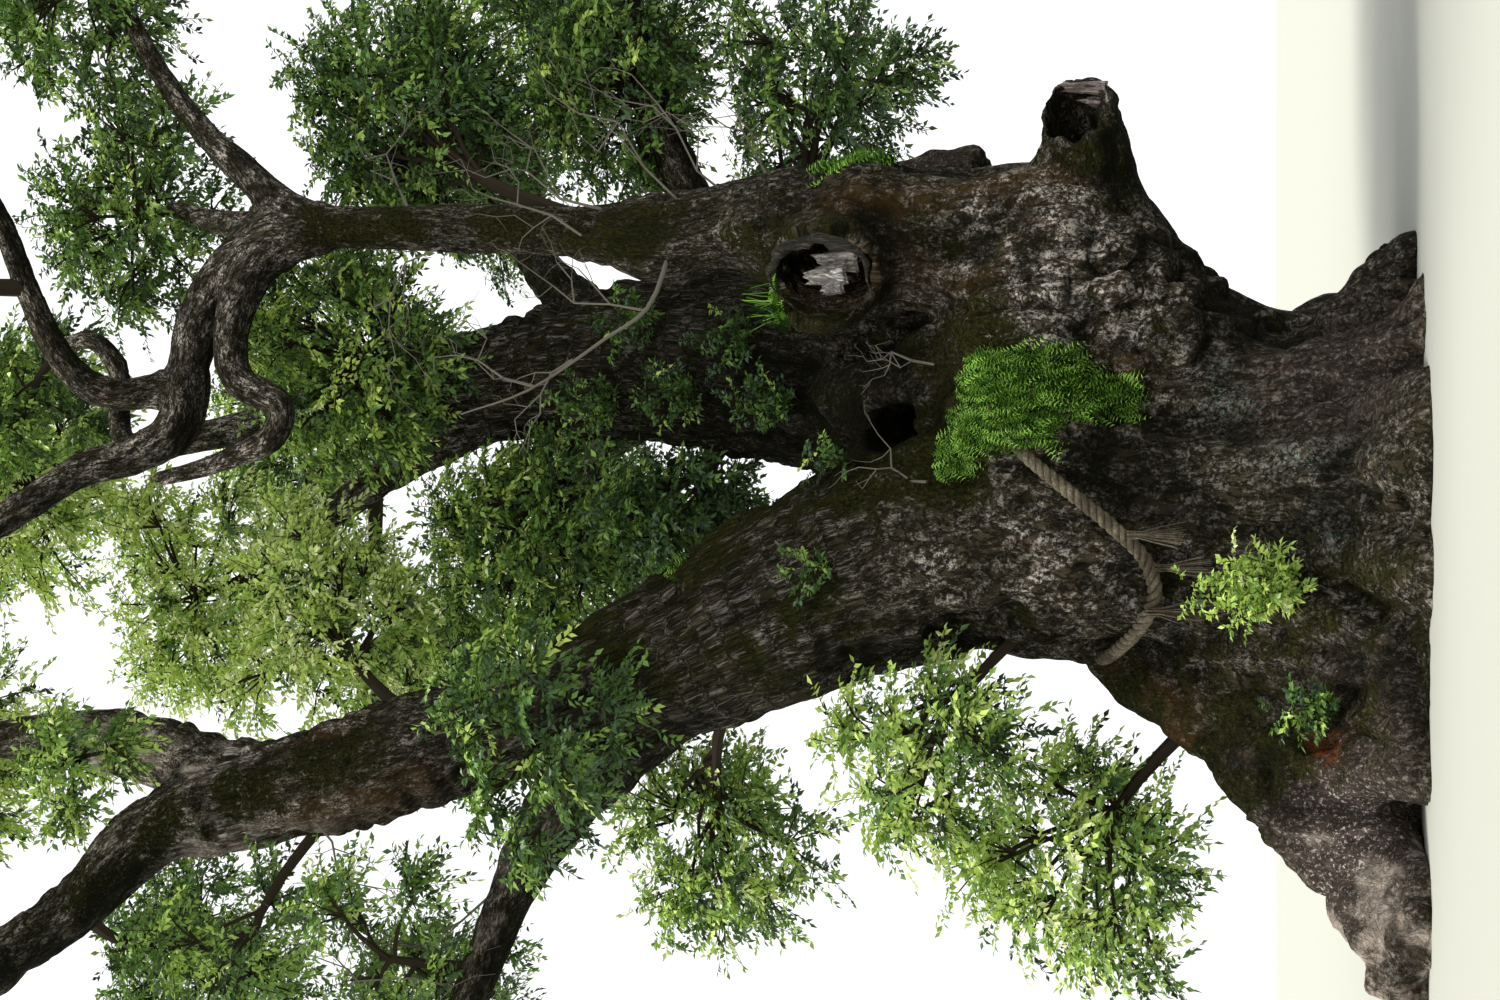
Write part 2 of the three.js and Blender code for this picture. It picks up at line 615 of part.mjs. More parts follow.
function ropeSolid(bark, placed) {
  const way = ROPE_WAY.map((point) => [...onBark(point, bark).toArray(), ROPE_RADIUS]);
  const tassels = TASSELS.map((point) => {
    const top = onBark([...point, "level"], bark).addScaledVector(new THREE.Vector3(0, -1, 0), ROPE_RADIUS * 0.6);
    const [x, y, z] = top.toArray();
    return limbSolid([[x, y, z, 55], [x, y - 60, z - TASSEL_LENGTH / 2, 100], [x, y - 60, z - TASSEL_LENGTH, 130]], { sides: 4, rings: 1 });
  });
  const whole = union([limbSolid(way, { sides: 5, rings: 1, ribDepth: 0 }), ...tassels]);
  return largestBody(cutBack(whole, placed)).simplify(SLIVER);
}

// Assembly: each solid is cut back to the ones that are already placed

const placed = [];
const group = new THREE.Group();

function place(name, solid, material) {
  placed.push({ name, gap: swollen(solid, CLEARANCE) });
  const mesh = meshFrom(name, solid, material);
  group.add(mesh);
  return mesh;
}

const trunk = place("trunk", trunkSolid(), BARK);
for (const name of Object.keys(BOUGHS)) {
  place(name, growBough(name, placed), BARK);
}
place("straw_rope", ropeSolid(trunk, placed), STRAW);
place("fern_patch", fernSolid(placed), FERN);
Object.keys(MASSES).forEach((name, i) => {
  place(name, growMass(name, 101 + 7 * i, placed), FOLIAGE);
});

export default group;
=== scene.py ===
# %% [markdown]
# A very old camphor tree, photographed from the front. Its trunk is a bundle of buttresses, healed
# wounds and mossy ribs, and it forks low down into three leaders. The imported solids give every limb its
# place and size. This script grows the looks on them: bark with relief, twigs, sprays of small leaves,
# a straw rope, ferns and shoots. Lengths are in metres. Tables of stations are in millimetres.

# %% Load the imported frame
import math
from itertools import product

import bpy
import numpy as np
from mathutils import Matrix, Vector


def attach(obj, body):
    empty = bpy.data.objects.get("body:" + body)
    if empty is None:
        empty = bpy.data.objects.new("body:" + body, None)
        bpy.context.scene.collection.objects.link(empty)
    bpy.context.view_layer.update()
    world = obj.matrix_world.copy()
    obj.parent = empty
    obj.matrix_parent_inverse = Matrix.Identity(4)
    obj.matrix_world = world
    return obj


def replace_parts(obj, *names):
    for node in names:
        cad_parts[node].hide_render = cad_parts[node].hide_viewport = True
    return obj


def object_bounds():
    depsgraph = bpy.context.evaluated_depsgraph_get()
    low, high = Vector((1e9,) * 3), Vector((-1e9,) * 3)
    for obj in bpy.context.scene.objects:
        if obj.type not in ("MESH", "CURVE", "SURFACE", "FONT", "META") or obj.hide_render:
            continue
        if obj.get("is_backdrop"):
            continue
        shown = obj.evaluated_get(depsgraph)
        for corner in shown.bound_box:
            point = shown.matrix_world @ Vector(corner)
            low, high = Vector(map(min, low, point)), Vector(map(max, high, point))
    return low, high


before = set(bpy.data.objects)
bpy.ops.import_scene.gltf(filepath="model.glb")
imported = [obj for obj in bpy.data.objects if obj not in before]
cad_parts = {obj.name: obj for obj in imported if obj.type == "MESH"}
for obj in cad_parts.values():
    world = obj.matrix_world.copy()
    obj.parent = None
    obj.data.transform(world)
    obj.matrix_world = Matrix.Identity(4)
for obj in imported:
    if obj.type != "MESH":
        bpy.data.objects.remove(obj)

import openvdb
from mathutils import Matrix, Vector
from mathutils.bvhtree import BVHTree

CAD_LOW, CAD_HIGH = (np.array(corner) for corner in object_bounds())
print("nodes", len(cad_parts), "size", np.round(CAD_HIGH - CAD_LOW, 2))

# %% [markdown]
# The photograph lies on its side: the tree's top points to the picture's left. A hand-held camera stood
# about 28 m in front of the trunk, 2 m above the ground, and looked up by 15 degrees. Posts that lean
# together towards the top gave the angle of view. The camera here is turned by a quarter in the same way,
# so that its picture and the photograph can be laid over each other.

# %% Camera
DISTANCE = 28.0
EYE_HEIGHT = 2.0
PITCH = math.radians(15)
SENSOR = 36
FOCAL = 1900 / 1500 * SENSOR
FARTHEST = 500

camera = bpy.data.objects.new("camera", bpy.data.cameras.new("camera"))
camera.data.sensor_width = SENSOR
camera.data.lens = FOCAL
camera.data.clip_end = FARTHEST
to_right = Vector((0, math.sin(PITCH), -math.cos(PITCH)))
to_top = Vector((1, 0, 0))
turn = Matrix((to_right, to_top, to_right.cross(to_top))).transposed().to_4x4()
camera.matrix_world = Matrix.Translation((0, -DISTANCE, EYE_HEIGHT)) @ turn
bpy.context.scene.collection.objects.link(camera)
bpy.context.scene.camera = camera
print("camera at", tuple(camera.location), "lens", round(FOCAL, 1))

# %% [markdown]
# The day of the photograph was bright and hazy: a white sky that lights the crown from above and behind,
# and a trunk that stands in soft shade. A plain pale sky, one wide soft sun from the upper left, and a
# pale floor give the same light.

# %% Sky, sun and floor
SKY_COLOUR = (0.98, 0.985, 1.0)
SKY_STRENGTH = 1.2
SUN_COLOUR = (1.0, 0.96, 0.88)
SUN_STRENGTH = 5.6
SUN_FROM = Vector((-0.55, -0.05, 0.83))
SUN_SPREAD = math.radians(24)
FLOOR_COLOUR = (0.36, 0.37, 0.33)
FLOOR_RADIUS = 220
FLOOR_PLACE = (0, 0, -0.002)

world = bpy.data.worlds.new("sky")
bpy.context.scene.world = world
world.use_nodes = True
sky = world.node_tree.nodes["Background"].inputs
sky["Color"].default_value = (*SKY_COLOUR, 1)
sky["Strength"].default_value = SKY_STRENGTH

sun = bpy.data.objects.new("sun", bpy.data.lights.new("sun", "SUN"))
sun.data.energy = SUN_STRENGTH
sun.data.angle = SUN_SPREAD
sun.data.color = SUN_COLOUR
sun.rotation_euler = SUN_FROM.to_track_quat("Z", "Y").to_euler()
bpy.context.scene.collection.objects.link(sun)
bpy.context.scene.view_settings.view_transform = "Standard"


def plain_material(name, colour, roughness, specular):
    material = bpy.data.materials.new(name)
    material.use_nodes = True
    shader = material.node_tree.nodes["Principled BSDF"]
    shader.inputs["Base Color"].default_value = (*colour[:3], 1)
    shader.inputs["Roughness"].default_value = roughness
    shader.inputs["Specular IOR Level"].default_value = specular
    return material


bpy.ops.mesh.primitive_circle_add(vertices=96, radius=FLOOR_RADIUS, fill_type="NGON", location=FLOOR_PLACE)
floor = bpy.context.object
floor.name = "floor"
floor.data.materials.append(plain_material("floor", FLOOR_COLOUR, 0.95, 0.1))
floor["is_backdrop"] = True
print("sun from", tuple(round(v, 2) for v in SUN_FROM))

# %% [markdown]
# Everything that grows follows the same small rules as the solids: a seeded generator, a smooth curve
# through stations [x, y, z, radius], and twigs on an even spiral. They are written again here with arrays,
# so that hundreds of thousands of leaves take seconds.

# %% The rules of growth


def seeded_random(seed):
    state = seed & 0xFFFFFFFF

    def draw():
        nonlocal state
        state = (state * 1664525 + 1013904223) & 0xFFFFFFFF
        return state / 4294967296

    return draw


def curve_points(stations, shares):
    """Places and radii at shares of the way along a centripetal spline through the stations."""
    stations = np.asarray(stations, float)
    places, radii = stations[:, :3], stations[:, 3]
    padded = np.vstack([2 * places[0] - places[1], places, 2 * places[-1] - places[-2]])
    along = np.clip(np.asarray(shares, float), 0, 1) * (len(places) - 1)
    before = np.minimum(along.astype(int), len(places) - 2)
    w = (along - before)[:, None]
    x = [padded[before + k] for k in range(4)]
    d0, d1, d2 = (np.maximum(np.linalg.norm(x[k + 1] - x[k], axis=1), 1e-6)[:, None] ** 0.5 for k in range(3))
    t1 = ((x[1] - x[0]) / d0 - (x[2] - x[0]) / (d0 + d1) + (x[2] - x[1]) / d1) * d1
    t2 = ((x[2] - x[1]) / d1 - (x[3] - x[1]) / (d1 + d2) + (x[3] - x[2]) / d2) * d1
    step = x[2] - x[1]
    point = x[1] + t1 * w + (3 * step - 2 * t1 - t2) * w**2 + (-2 * step + t1 + t2) * w**3
    return point, radii[before] * (1 - w[:, 0]) + radii[before + 1] * w[:, 0]


def unit(vectors):
    return vectors / np.maximum(np.linalg.norm(vectors, axis=-1, keepdims=True), 1e-9)


def lattice_noise(points, seed=0):
    """Smooth noise from -1 to 1, with lumps one unit across."""
    cell = np.floor(points).astype(np.int64)
    inside = points - cell
    inside = inside * inside * (3 - 2 * inside)
    total = np.zeros(len(points))
    for corner in range(8):
        step = np.array([corner & 1, corner >> 1 & 1, corner >> 2 & 1])
        i, j, k = (cell + step).T
        mixed = (i * 374761393 + j * 668265263 + k * 1442695041 + seed * 974634777) & 0xFFFFFFFF
        mixed = ((mixed ^ (mixed >> 13)) * 1274126177) & 0xFFFFFFFF
        value = ((mixed ^ (mixed >> 16)) & 0xFFFFFF) / 0xFFFFFF * 2 - 1
        total += value * np.prod(np.where(step, inside, 1 - inside), axis=1)
    return total


def layered_noise(points, octaves=3, seed=0):
    return sum(lattice_noise(points * 2**k + 17.3 * k, seed + k) / 2**k for k in range(octaves))


def mesh_object(name, slot, points, faces, materials, indices=None, smooth=False):
    """One mesh from arrays: points (n, 3), faces (m, 3 or 4), and a material index for each face."""
    mesh = bpy.data.meshes.new(name)
    faces = np.asarray(faces, np.int32)
    mesh.vertices.add(len(points))
    mesh.vertices.foreach_set("co", np.asarray(points, np.float32).ravel())
    mesh.loops.add(faces.size)
    mesh.loops.foreach_set("vertex_index", faces.ravel())
    mesh.polygons.add(len(faces))
    mesh.polygons.foreach_set("loop_start", np.arange(len(faces), dtype=np.int32) * faces.shape[1])
    mesh.polygons.foreach_set("use_smooth", np.full(len(faces), smooth))
    for material in materials:
        mesh.materials.append(material)
    if indices is not None:
        mesh.polygons.foreach_set("material_index", np.asarray(indices, np.int32))
    mesh.update(calc_edges=True)
    mesh.validate()
    piece = bpy.data.objects.new(name, mesh)
    bpy.context.scene.collection.objects.link(piece)
    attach(piece, "root")
    print(name, "faces", len(mesh.polygons))
    return piece


print("noise sample", np.round(lattice_noise(np.array([[0.5, 0.2, 0.9], [3.1, 2.2, 1.4]])), 3))

# %% [markdown]
# The wood is described the way a forester would: each limb by a few stations on its centre line, with
# the radius there, in millimetres. The bends of the limbs that the picture shows come from it. Boughs
# further back follow a rule: they leave their carrier, arch, and taper to a tip. Lists like these stay
# short and easy to change, which a sculpted mesh would not.

# %% Stations of the trunk's lobes
TRUNK_RADIUS = 2900
CROTCH_HEIGHT = 6100

COLUMN = [
    [-250, 100, -400, TRUNK_RADIUS + 150], [-150, 50, 1300, TRUNK_RADIUS - 250],
    [150, 0, 3000, TRUNK_RADIUS - 500], [400, 150, 4700, TRUNK_RADIUS - 450],
    [700, 300, CROTCH_HEIGHT - 100, TRUNK_RADIUS - 900], [800, 400, CROTCH_HEIGHT + 500, TRUNK_RADIUS - 1800],
]
LEFT_BASE = [[-100, -500, 2400, 1900], [-350, -500, 4300, 1850], [-760, -590, 7250, 1400]]
BACK_BASE = [[300, 900, 2600, 2000], [1000, 1300, 4800, 1950], [1700, 1900, 7200, 1700]]
OVERHANG = [
    [900, -500, 1900, 1170], [1900, -800, 3200, 1350], [3030, -900, 4480, 1430],
    [3630, -900, 6000, 1100], [3810, -900, 7500, 950], [3930, -830, 8400, 800],
]
INNER_STEM = [
    [2300, -1100, 4900, 900], [2050, -900, 6100, 620], [1750, -500, 7100, 500], [1500, 300, 8100, 420],
]
SADDLE = [[-300, -900, 4300, 1250], [900, -1500, 4900, 1150], [2300, -1400, 4900, 1150]]
COLLAR = [[3900, -700, 7700, 1000], [3500, -1450, 7800, 880], [3150, -2080, 7860, 760]]
LEFT_FLARE = [
    [
        [-2350, -800, 4150, 180], [-2700, -900, 3300, 480], [-3150, -1200, 2300, 640],
        [-3900, -1700, 1450, 780], [-4600, -2300, 700, 680], [-5300, -2800, 200, 520],
    ],
    [
        [-1100, -400, 3700, 900], [-1900, -700, 2300, 1200],
        [-2600, -1000, 900, 1400], [-3000, -1300, -300, 1500],
    ],
    [
        [-3300, -1600, 1700, 620], [-3450, -2400, 1000, 520],
        [-3350, -3050, 350, 470], [-3250, -3400, -250, 480],
    ],
]
ROOT_TOES = [
    [[-4900, -2500, 600, 420], [-5600, -2800, 380, 330], [-6050, -3200, -150, 260]],
    [[-5000, -2700, 500, 380], [-5350, -3300, 250, 300], [-5450, -3700, -200, 240]],
    [[-4800, -2200, 500, 360], [-5700, -2300, 260, 280], [-6500, -2100, -120, 200]],
    [[-4400, -2500, 450, 360], [-4650, -3200, 200, 280], [-4750, -3600, -200, 240]],
]
RIGHT_FOOT = [[2450, -1200, 900, 300], [2950, -1350, 300, 330], [3350, -1450, -50, 260]]
# [x, y, height, radius] of the ribs in front
FRONT_RIBS = [
    [-2000, -2450, 2500, 930], [-750, -2900, 1500, 620], [250, -2950, 3500, 600], [880, -2820, 2700, 520],
    [1950, -2200, 3200, 500], [2450, -1000, 2300, 640], [2650, 800, 2100, 680],
]
BACK_RIBS = 6
LAST_RIB_SHARE = 0.75
# [x, y, z, radius] of the round swellings: on the overhang, behind the right stem, and on the left root
BURLS = [
    [2150, -2150, 3050, 330], [2750, -2050, 3150, 300], [1900, -2250, 3600, 260], [3400, -2000, 3700, 300],
    [2700, -2300, 3900, 270], [4850, 50, 7150, 300], [5000, 100, 6700, 360], [4980, 100, 6250, 300],
    [-4050, -2350, 1450, 560], [-5280, -3000, 440, 520], [-5720, -3420, 330, 280], [-6120, -3200, 180, 250],
    [-5350, -3600, 340, 240], [-5080, -3720, 90, 230], [-5980, -2950, 500, 260], [-5450, -3250, 720, 200],
]
# Carved out: the knot (two), the cavity in the crotch, the rotted stub, a fold at the foot, and a notch
HOLES = [
    [[3650, -1000, 7850, 420], [3300, -1750, 7980, 540], [3030, -2600, 8080, 600]],
    [[3600, -1200, 7650, 400], [3300, -1750, 7680, 520], [3030, -2600, 7680, 560]],
    [[1080, -1700, 7180, 450], [1000, -700, 7000, 520], [1100, 100, 6800, 400]],
    [[4800, -1000, 4440, 190], [5200, -1500, 4440, 370], [5480, -2500, 4460, 500]],
    [[2260, -1700, 2300, 30], [2360, -1900, 1300, 80], [2400, -2250, -200, 120]],
    [[-2950, -2400, 1600, 90], [-3080, -2620, 1330, 150], [-3000, -2750, 1080, 90]],
]


def rib(x, y, height, radius):
    """A buttress that runs down the trunk and spreads at the foot."""
    return [
        [x * 0.55 + 100, y * 0.55, height, radius * 0.65],
        [x * 0.82, y * 0.82, height * 0.45, radius * 0.85],
        [x * 0.93, y * 0.93, height * 0.16, radius],
        [x * 1.12, y * 1.12, -350, radius * 1.25],
    ]


def back_ribs():
    draw = seeded_random(11)
    ribs = []
    for i in range(BACK_RIBS):
        angle = math.pi * (0.1 + 0.8 * (i + 0.5) / BACK_RIBS)
        reach = TRUNK_RADIUS * (0.95 + 0.3 * draw())
        height = 1700 + 1700 * draw()
        radius = (600 + 400 * draw()) * (LAST_RIB_SHARE if i == BACK_RIBS - 1 else 1)
        ribs.append([-math.cos(angle) * reach, math.sin(angle) * reach, height, radius])
    return ribs


def metres(stations):
    return np.array(stations, float) / 1000


LOBES = [COLUMN, LEFT_BASE, BACK_BASE, OVERHANG, INNER_STEM, SADDLE, COLLAR]
LOBES += LEFT_FLARE + ROOT_TOES + [RIGHT_FOOT] + [rib(*sizes) for sizes in FRONT_RIBS + back_ribs()]
trunk_lobes = [metres(lobe) for lobe in LOBES]
print("lobes of the trunk", len(trunk_lobes))

# %% Stations of the boughs
BOUGHS = {
    "left_leader": [
        [-480, -550, 5900, 1500], [-1000, -580, 7500, 1480], [-1570, -500, 8900, 1400],
        [-2350, -400, 10500, 1230], [-3200, -300, 12500, 980], [-3850, -200, 14500, 770],
        [-4500, 0, 16500, 860], [-4850, 0, 17900, 800], [-5000, 0, 18700, 640],
    ],
    "back_leader": [
        [1500, 1700, 6300, 1650], [2000, 2300, 8400, 1600], [2300, 2900, 10300, 1560],
        [2400, 3500, 12600, 1400], [2200, 4000, 15000, 1020], [1900, 4300, 17600, 680],
    ],
    "right_leader": [
        [3880, -880, 7700, 900], [3980, -780, 8700, 740], [4060, -700, 9500, 590],
        [3960, -600, 10900, 600], [4130, -500, 12000, 400], [4270, -500, 14700, 330],
        [4310, -500, 16500, 340], [4200, -500, 17300, 390],
    ],
    "broken_stub": [
        [3300, -900, 4500, 900], [4200, -1100, 4360, 720], [4900, -1350, 4330, 610], [5330, -1500, 4390, 520],
    ],
    "left_fork": [
        [-4950, 0, 18100, 600], [-5420, -400, 19500, 570], [-6000, -650, 20100, 530],
        [-6650, -900, 20650, 490], [-7600, -1600, 21850, 400], [-8600, -2200, 23000, 270],
        [-9200, -2500, 23900, 170],
    ],
    "centre_fork": [
        [-4750, 150, 18100, 620], [-4260, 600, 20200, 550], [-4150, 900, 22200, 480],
        [-4300, 1150, 23600, 340], [-4450, 1300, 24600, 220],
    ],
    "left_arm": [
        [-3300, -50, 11150, 620], [-4600, -200, 12200, 420], [-5860, -600, 13000, 340],
        [-7000, -1000, 13400, 300], [-8200, -1500, 13800, 260], [-9800, -2000, 14600, 200],
        [-10900, -2300, 15300, 130],
    ],
    "s_low": [
        [4150, -540, 17050, 250], [3570, -700, 17600, 300], [2430, -1000, 17800, 255],
        [1850, -1150, 17500, 240], [1450, -1200, 16800, 230], [1000, -1150, 16950, 210],
        [730, -1050, 17600, 200], [500, -1000, 18300, 170], [350, -900, 19100, 120],
    ],
    "s_up": [
        [4230, -470, 16950, 280], [3950, -420, 17850, 400], [3100, -300, 18650, 375],
        [2200, -200, 19000, 360], [1250, -300, 19100, 335], [740, -500, 19800, 285],
        [500, -800, 20600, 270], [0, -1200, 21300, 255], [-800, -1700, 22200, 210],
        [-1500, -2200, 23100, 130],
    ],
    "s_rise": [
        [1900, -220, 19000, 260], [1750, -400, 20350, 255], [2200, -600, 21000, 245],
        [3350, -900, 21500, 215], [4700, -1300, 21850, 190], [6000, -1900, 22500, 140],
    ],
    "s_curl": [
        [750, -300, 20000, 190], [1300, 250, 20600, 180], [2250, 350, 20700, 185],
        [2750, 400, 21300, 165], [2500, 500, 22000, 120],
    ],
}
# [carrier, share of the way along it, radius there, tip, radius at the tip], in millimetres
SIDE_BOUGHS = {
    "left_back_bough": ["left_leader", 0.4, 600, [-9000, 4400, 15700], 170],
    "front_left_bough": ["left_fork", 0.66, 320, [-6700, -5200, 22700], 160],
    "crown_bough": ["back_leader", 0.96, 560, [700, 3800, 23300], 170],
    "back_left_bough": ["back_leader", 0.68, 620, [-1400, 5400, 20700], 180],
    "back_mid_bough": ["back_leader", 0.46, 700, [100, 10000, 15700], 170],
    "back_right_bough": ["back_leader", 0.58, 700, [6500, 8600, 17000], 170],
    "back_high_bough": ["back_leader", 0.86, 520, [1900, 8300, 20700], 190],
    "right_back_bough": ["back_leader", 0.32, 600, [9600, 3300, 12700], 160],
    "right_top_bough": ["right_leader", 0.93, 330, [5000, 1000, 20000], 140],
    "right_high_bough": ["right_leader", 0.87, 320, [8200, 800, 20700], 140],
}
BOUGH_LIFT = 0.07
BOUGH_TAPER = 0.65
SIDE_STEPS = 4

boughs = {name: metres(stations) for name, stations in BOUGHS.items()}


def side_bough(carrier, share, thick, tip, thin):
    start = curve_points(boughs[carrier], [share])[0][0]
    step = metres(tip) - start
    s = np.linspace(0, 1, SIDE_STEPS + 1)
    stations = np.column_stack([start + np.outer(s, step), metres(thick + (thin - thick) * s**BOUGH_TAPER)])
    stations[:, 2] += np.linalg.norm(step) * BOUGH_LIFT * np.sin(math.pi * s)
    return stations


for name, sizes in SIDE_BOUGHS.items():
    boughs[name] = side_bough(*sizes)
print("boughs", len(boughs), "highest", max(round(float(b[:, 2].max()), 1) for b in boughs.values()))

# %% [markdown]
# Old bark flows over everything: ribs melt into each other, and a bough swells where it leaves the trunk.
# Separate tubes would show hard creases there. So the wood is written as one distance field, in which
# neighbouring limbs blend softly and holes are carved, and the field is then turned into one skin of
# even squares. The field is worked out in blocks, and only where wood is near.

# %% The wood as one field
VOXEL = 0.088
BLOCK = 24
SIDE = BLOCK * VOXEL
REACH = 3 * VOXEL
TRUNK_BLEND = 0.34
CARVE_SOFT = 0.1
LOWEST_WOOD = -0.6


def chain(stations, pieces=5):
    """A limb as short straight cones: starts, steps, radii and growth of each."""
    points, radii = curve_points(stations, np.linspace(0, 1, (len(stations) - 1) * pieces + 1))
    return points[:-1], np.diff(points, axis=0), radii[:-1], np.diff(radii)


def cone_distance(points, cones):
    best = np.full(len(points), 1e3, np.float32)
    for start, step, radius, growth in zip(*cones):
        offset = points - start
        share = np.clip(offset @ step / (step @ step), 0, 1)
        offset = offset - share[:, None] * step
        away = np.sqrt(np.einsum("ij,ij->i", offset, offset)) - (radius + share * growth)
        np.minimum(best, away, out=best)
    return best


def soft_min(a, b, blend):
    near = np.maximum(blend - np.abs(a - b), 0) / blend
    return np.minimum(a, b) - near * near * blend * 0.25


wood = [(lobe, TRUNK_BLEND) for lobe in trunk_lobes]
wood += [(stations, 0.22 + 0.3 * stations[0, 3]) for stations in boughs.values()]
limbs = [(chain(stations), min(blend, 0.5)) for stations, blend in wood]
holes = [chain(metres(hole)) for hole in HOLES]
burls = [(place[:3], place[3]) for place in metres(BURLS)]


def blocks_near(cones, margin):
    """Numbers of the blocks that a limb may reach."""
    found = set()
    for start, step, radius, growth in zip(*cones):
        reach = max(radius, radius + growth) + margin
        low = np.floor((np.minimum(start, start + step) - reach) / SIDE).astype(int)
        high = np.floor((np.maximum(start, start + step) + reach) / SIDE).astype(int)
        found.update(product(*(range(a, b + 1) for a, b in zip(low, high))))
    return found


def nearby(cones, middle, reach):
    """Only the cones of a limb that come within reach of a block's middle."""
    starts, steps, radii, growths = cones
    share = np.einsum("ij,ij->i", middle - starts, steps) / np.einsum("ij,ij->i", steps, steps)
    offset = middle - starts - np.clip(share, 0, 1)[:, None] * steps
    keep = np.linalg.norm(offset, axis=1) - radii - np.maximum(growths, 0) < reach
    return tuple(part[keep] for part in cones)


def field_of(points, middle, reach):
    value = np.full(len(points), 1.0, np.float32)
    for cones, blend in limbs:
        close = nearby(cones, middle, reach + blend)
        if len(close[0]):
            value = soft_min(value, cone_distance(points, close), blend)
    for centre, radius in burls:
        if np.linalg.norm(middle - centre) < reach + radius + 0.3:
            value = soft_min(value, np.linalg.norm(points - centre, axis=1) - radius, 0.36 * radius)
    for cones in holes:
        close = nearby(cones, middle, reach + CARVE_SOFT)
        if len(close[0]):
            value = -soft_min(-value, cone_distance(points, close), CARVE_SOFT)
    return value


def wood_field():
    grid = openvdb.FloatGrid(REACH)
    grid.transform = openvdb.createLinearTransform(voxelSize=VOXEL)
    local = np.indices((BLOCK, BLOCK, BLOCK)).reshape(3, -1).T
    half = SIDE / 2
    for number in sorted(set().union(*(blocks_near(cones, REACH) for cones, blend in limbs))):
        corner = np.array(number) * BLOCK
        if corner[2] * VOXEL >= LOWEST_WOOD - SIDE:
            value = field_of((corner + local) * VOXEL, corner * VOXEL + half, half * 1.74 + REACH)
            value = np.clip(value, -REACH, REACH).astype(np.float32).reshape(BLOCK, BLOCK, BLOCK)
            grid.copyFromArray(value, ijk=tuple(int(c) for c in corner))
    return grid


skin_points, skin_quads = wood_field().convertToQuads(0.0)
print("points", len(skin_points), "squares", len(skin_quads))

# %% [markdown]
# Camphor bark is rough and deeply cut on the boughs, and on a trunk as old as this it has run into
# flutes, lumps and knots. A picture of bark is not used here: the skin itself is pushed in and out by
# layered noise that is stretched along the wood, and each point remembers which limb it belongs to, so
# that the fine pattern can follow the limb's direction too.

# %% Put each point of the skin on its limb
LIMB_BLUR = 0.12
LIMB_MARGIN = 0.4
GRAIN_SHIFT = 3.1


def cross_directions(direction):
    """Two directions across a limb, at right angles to each other."""
    across = unit(np.cross(direction, [0.2, 1.0, 0.1]))
    return across, np.cross(direction, across)


def nearest_limb(points):
    """For each point the limb that it lies on, and its place in that limb's own directions."""
    best = np.full(len(points), 1e3)
    owner = np.zeros(len(points), int)
    girth = np.ones(len(points))
    grain = np.array(points, float)
    lean = np.tile([0.0, 0.0, 1.0], (len(points), 1))
    blur = LIMB_BLUR * lattice_noise(points * 2.1, 5)
    for number, (stations, _) in enumerate(wood):
        on_trunk = number < len(trunk_lobes)
        starts, steps, radii, growths = chain(stations)
        low = (np.minimum(starts, starts + steps) - radii[:, None]).min(axis=0) - LIMB_MARGIN
        high = (np.maximum(starts, starts + steps) + radii[:, None]).max(axis=0) + LIMB_MARGIN
        inside = np.where(((points > low) & (points < high)).all(axis=1))[0]
        along = 0.0
        for start, step, radius, growth in zip(starts, steps, radii, growths):
            length = np.linalg.norm(step)
            offset = points[inside] - start
            share = np.clip(offset @ step / length**2, 0, 1)
            offset -= share[:, None] * step
            away = np.linalg.norm(offset, axis=1) - radius - share * growth
            away += blur[inside] if on_trunk else 0
            closer = away < best[inside]
            chosen = inside[closer]
            best[chosen] = away[closer]
            owner[chosen] = number
            girth[chosen] = radius + share[closer] * growth
            grain[chosen] = points[chosen]
            lean[chosen] = (0, 0, 1)
            if not on_trunk:
                across, depth = cross_directions(step / length)
                grain[chosen, 0] = offset[closer] @ across + number * GRAIN_SHIFT
                grain[chosen, 1] = offset[closer] @ depth
                grain[chosen, 2] = along + share[closer] * length
                lean[chosen] = step / length
            along += length
    return owner, girth, grain, lean


owner, girth, grain, lean = nearest_limb(skin_points)
print("points on the trunk", int((owner < len(trunk_lobes)).sum()), "of", len(owner))

# %% Push the bark in and out
FLUTE_DEPTH = 0.2
RIB_DEPTH = 0.09
LUMP_DEPTH = 0.15
KNOB_DEPTH = 0.07
CREASE_DEPTH = 0.1
LIP_DEPTH = 0.07
RAGGED_DEPTH = 0.15
HIGHEST = 0.2
GROUND_SNAP = 0.02
KNOT_AXIS = unit(metres(COLLAR)[-1][:3] - metres(COLLAR)[0][:3])
KNOT_MOUTH = metres(COLLAR)[-1][:3]
KNOT_RADIUS = 0.7
KNOT_DEPTH = 1.6
# Places are [weight, centre, reach], in metres. VEE is the smooth wood below the knot
VEE = [(2.95, -2.3, 6.75), (0.7, 1.2, 0.9)]
SMOOTH = [[1, (3.6, -1.6, 0.8), (1.6, 1.6, 1.6)], [1, (-4.3, -2.2, 1.4), (2.8, 2.4, 2.2)]]
QUIET = [[0.75, (4.2, -1.0, 3.3), (1.8, 2.2, 1.2)], [0.6, *VEE]]
GNARLED = [[1.9, (2.6, -2.1, 3.4), (2.4, 1.6, 1.4)]]
ROOT_KNOBS = [[1.6, (-5.8, -3.0, 0.4), (1.1, 1.1, 0.9)]]
ROOT_CREASES = [[1, (-5.9, -3.1, 0.3), (1.3, 1.2, 0.9)]]
STUB_MOUTH = [[1, (5.25, -1.8, 4.4), (1.1, 1.2, 1.0)]]


def skin_normals(points, quads):
    normals = np.zeros((len(points), 3))
    a, b, c, d = (points[quads[:, k]] for k in range(4))
    for k in range(4):
        np.add.at(normals, quads[:, k], np.cross(c - a, d - b))
    return unit(normals)


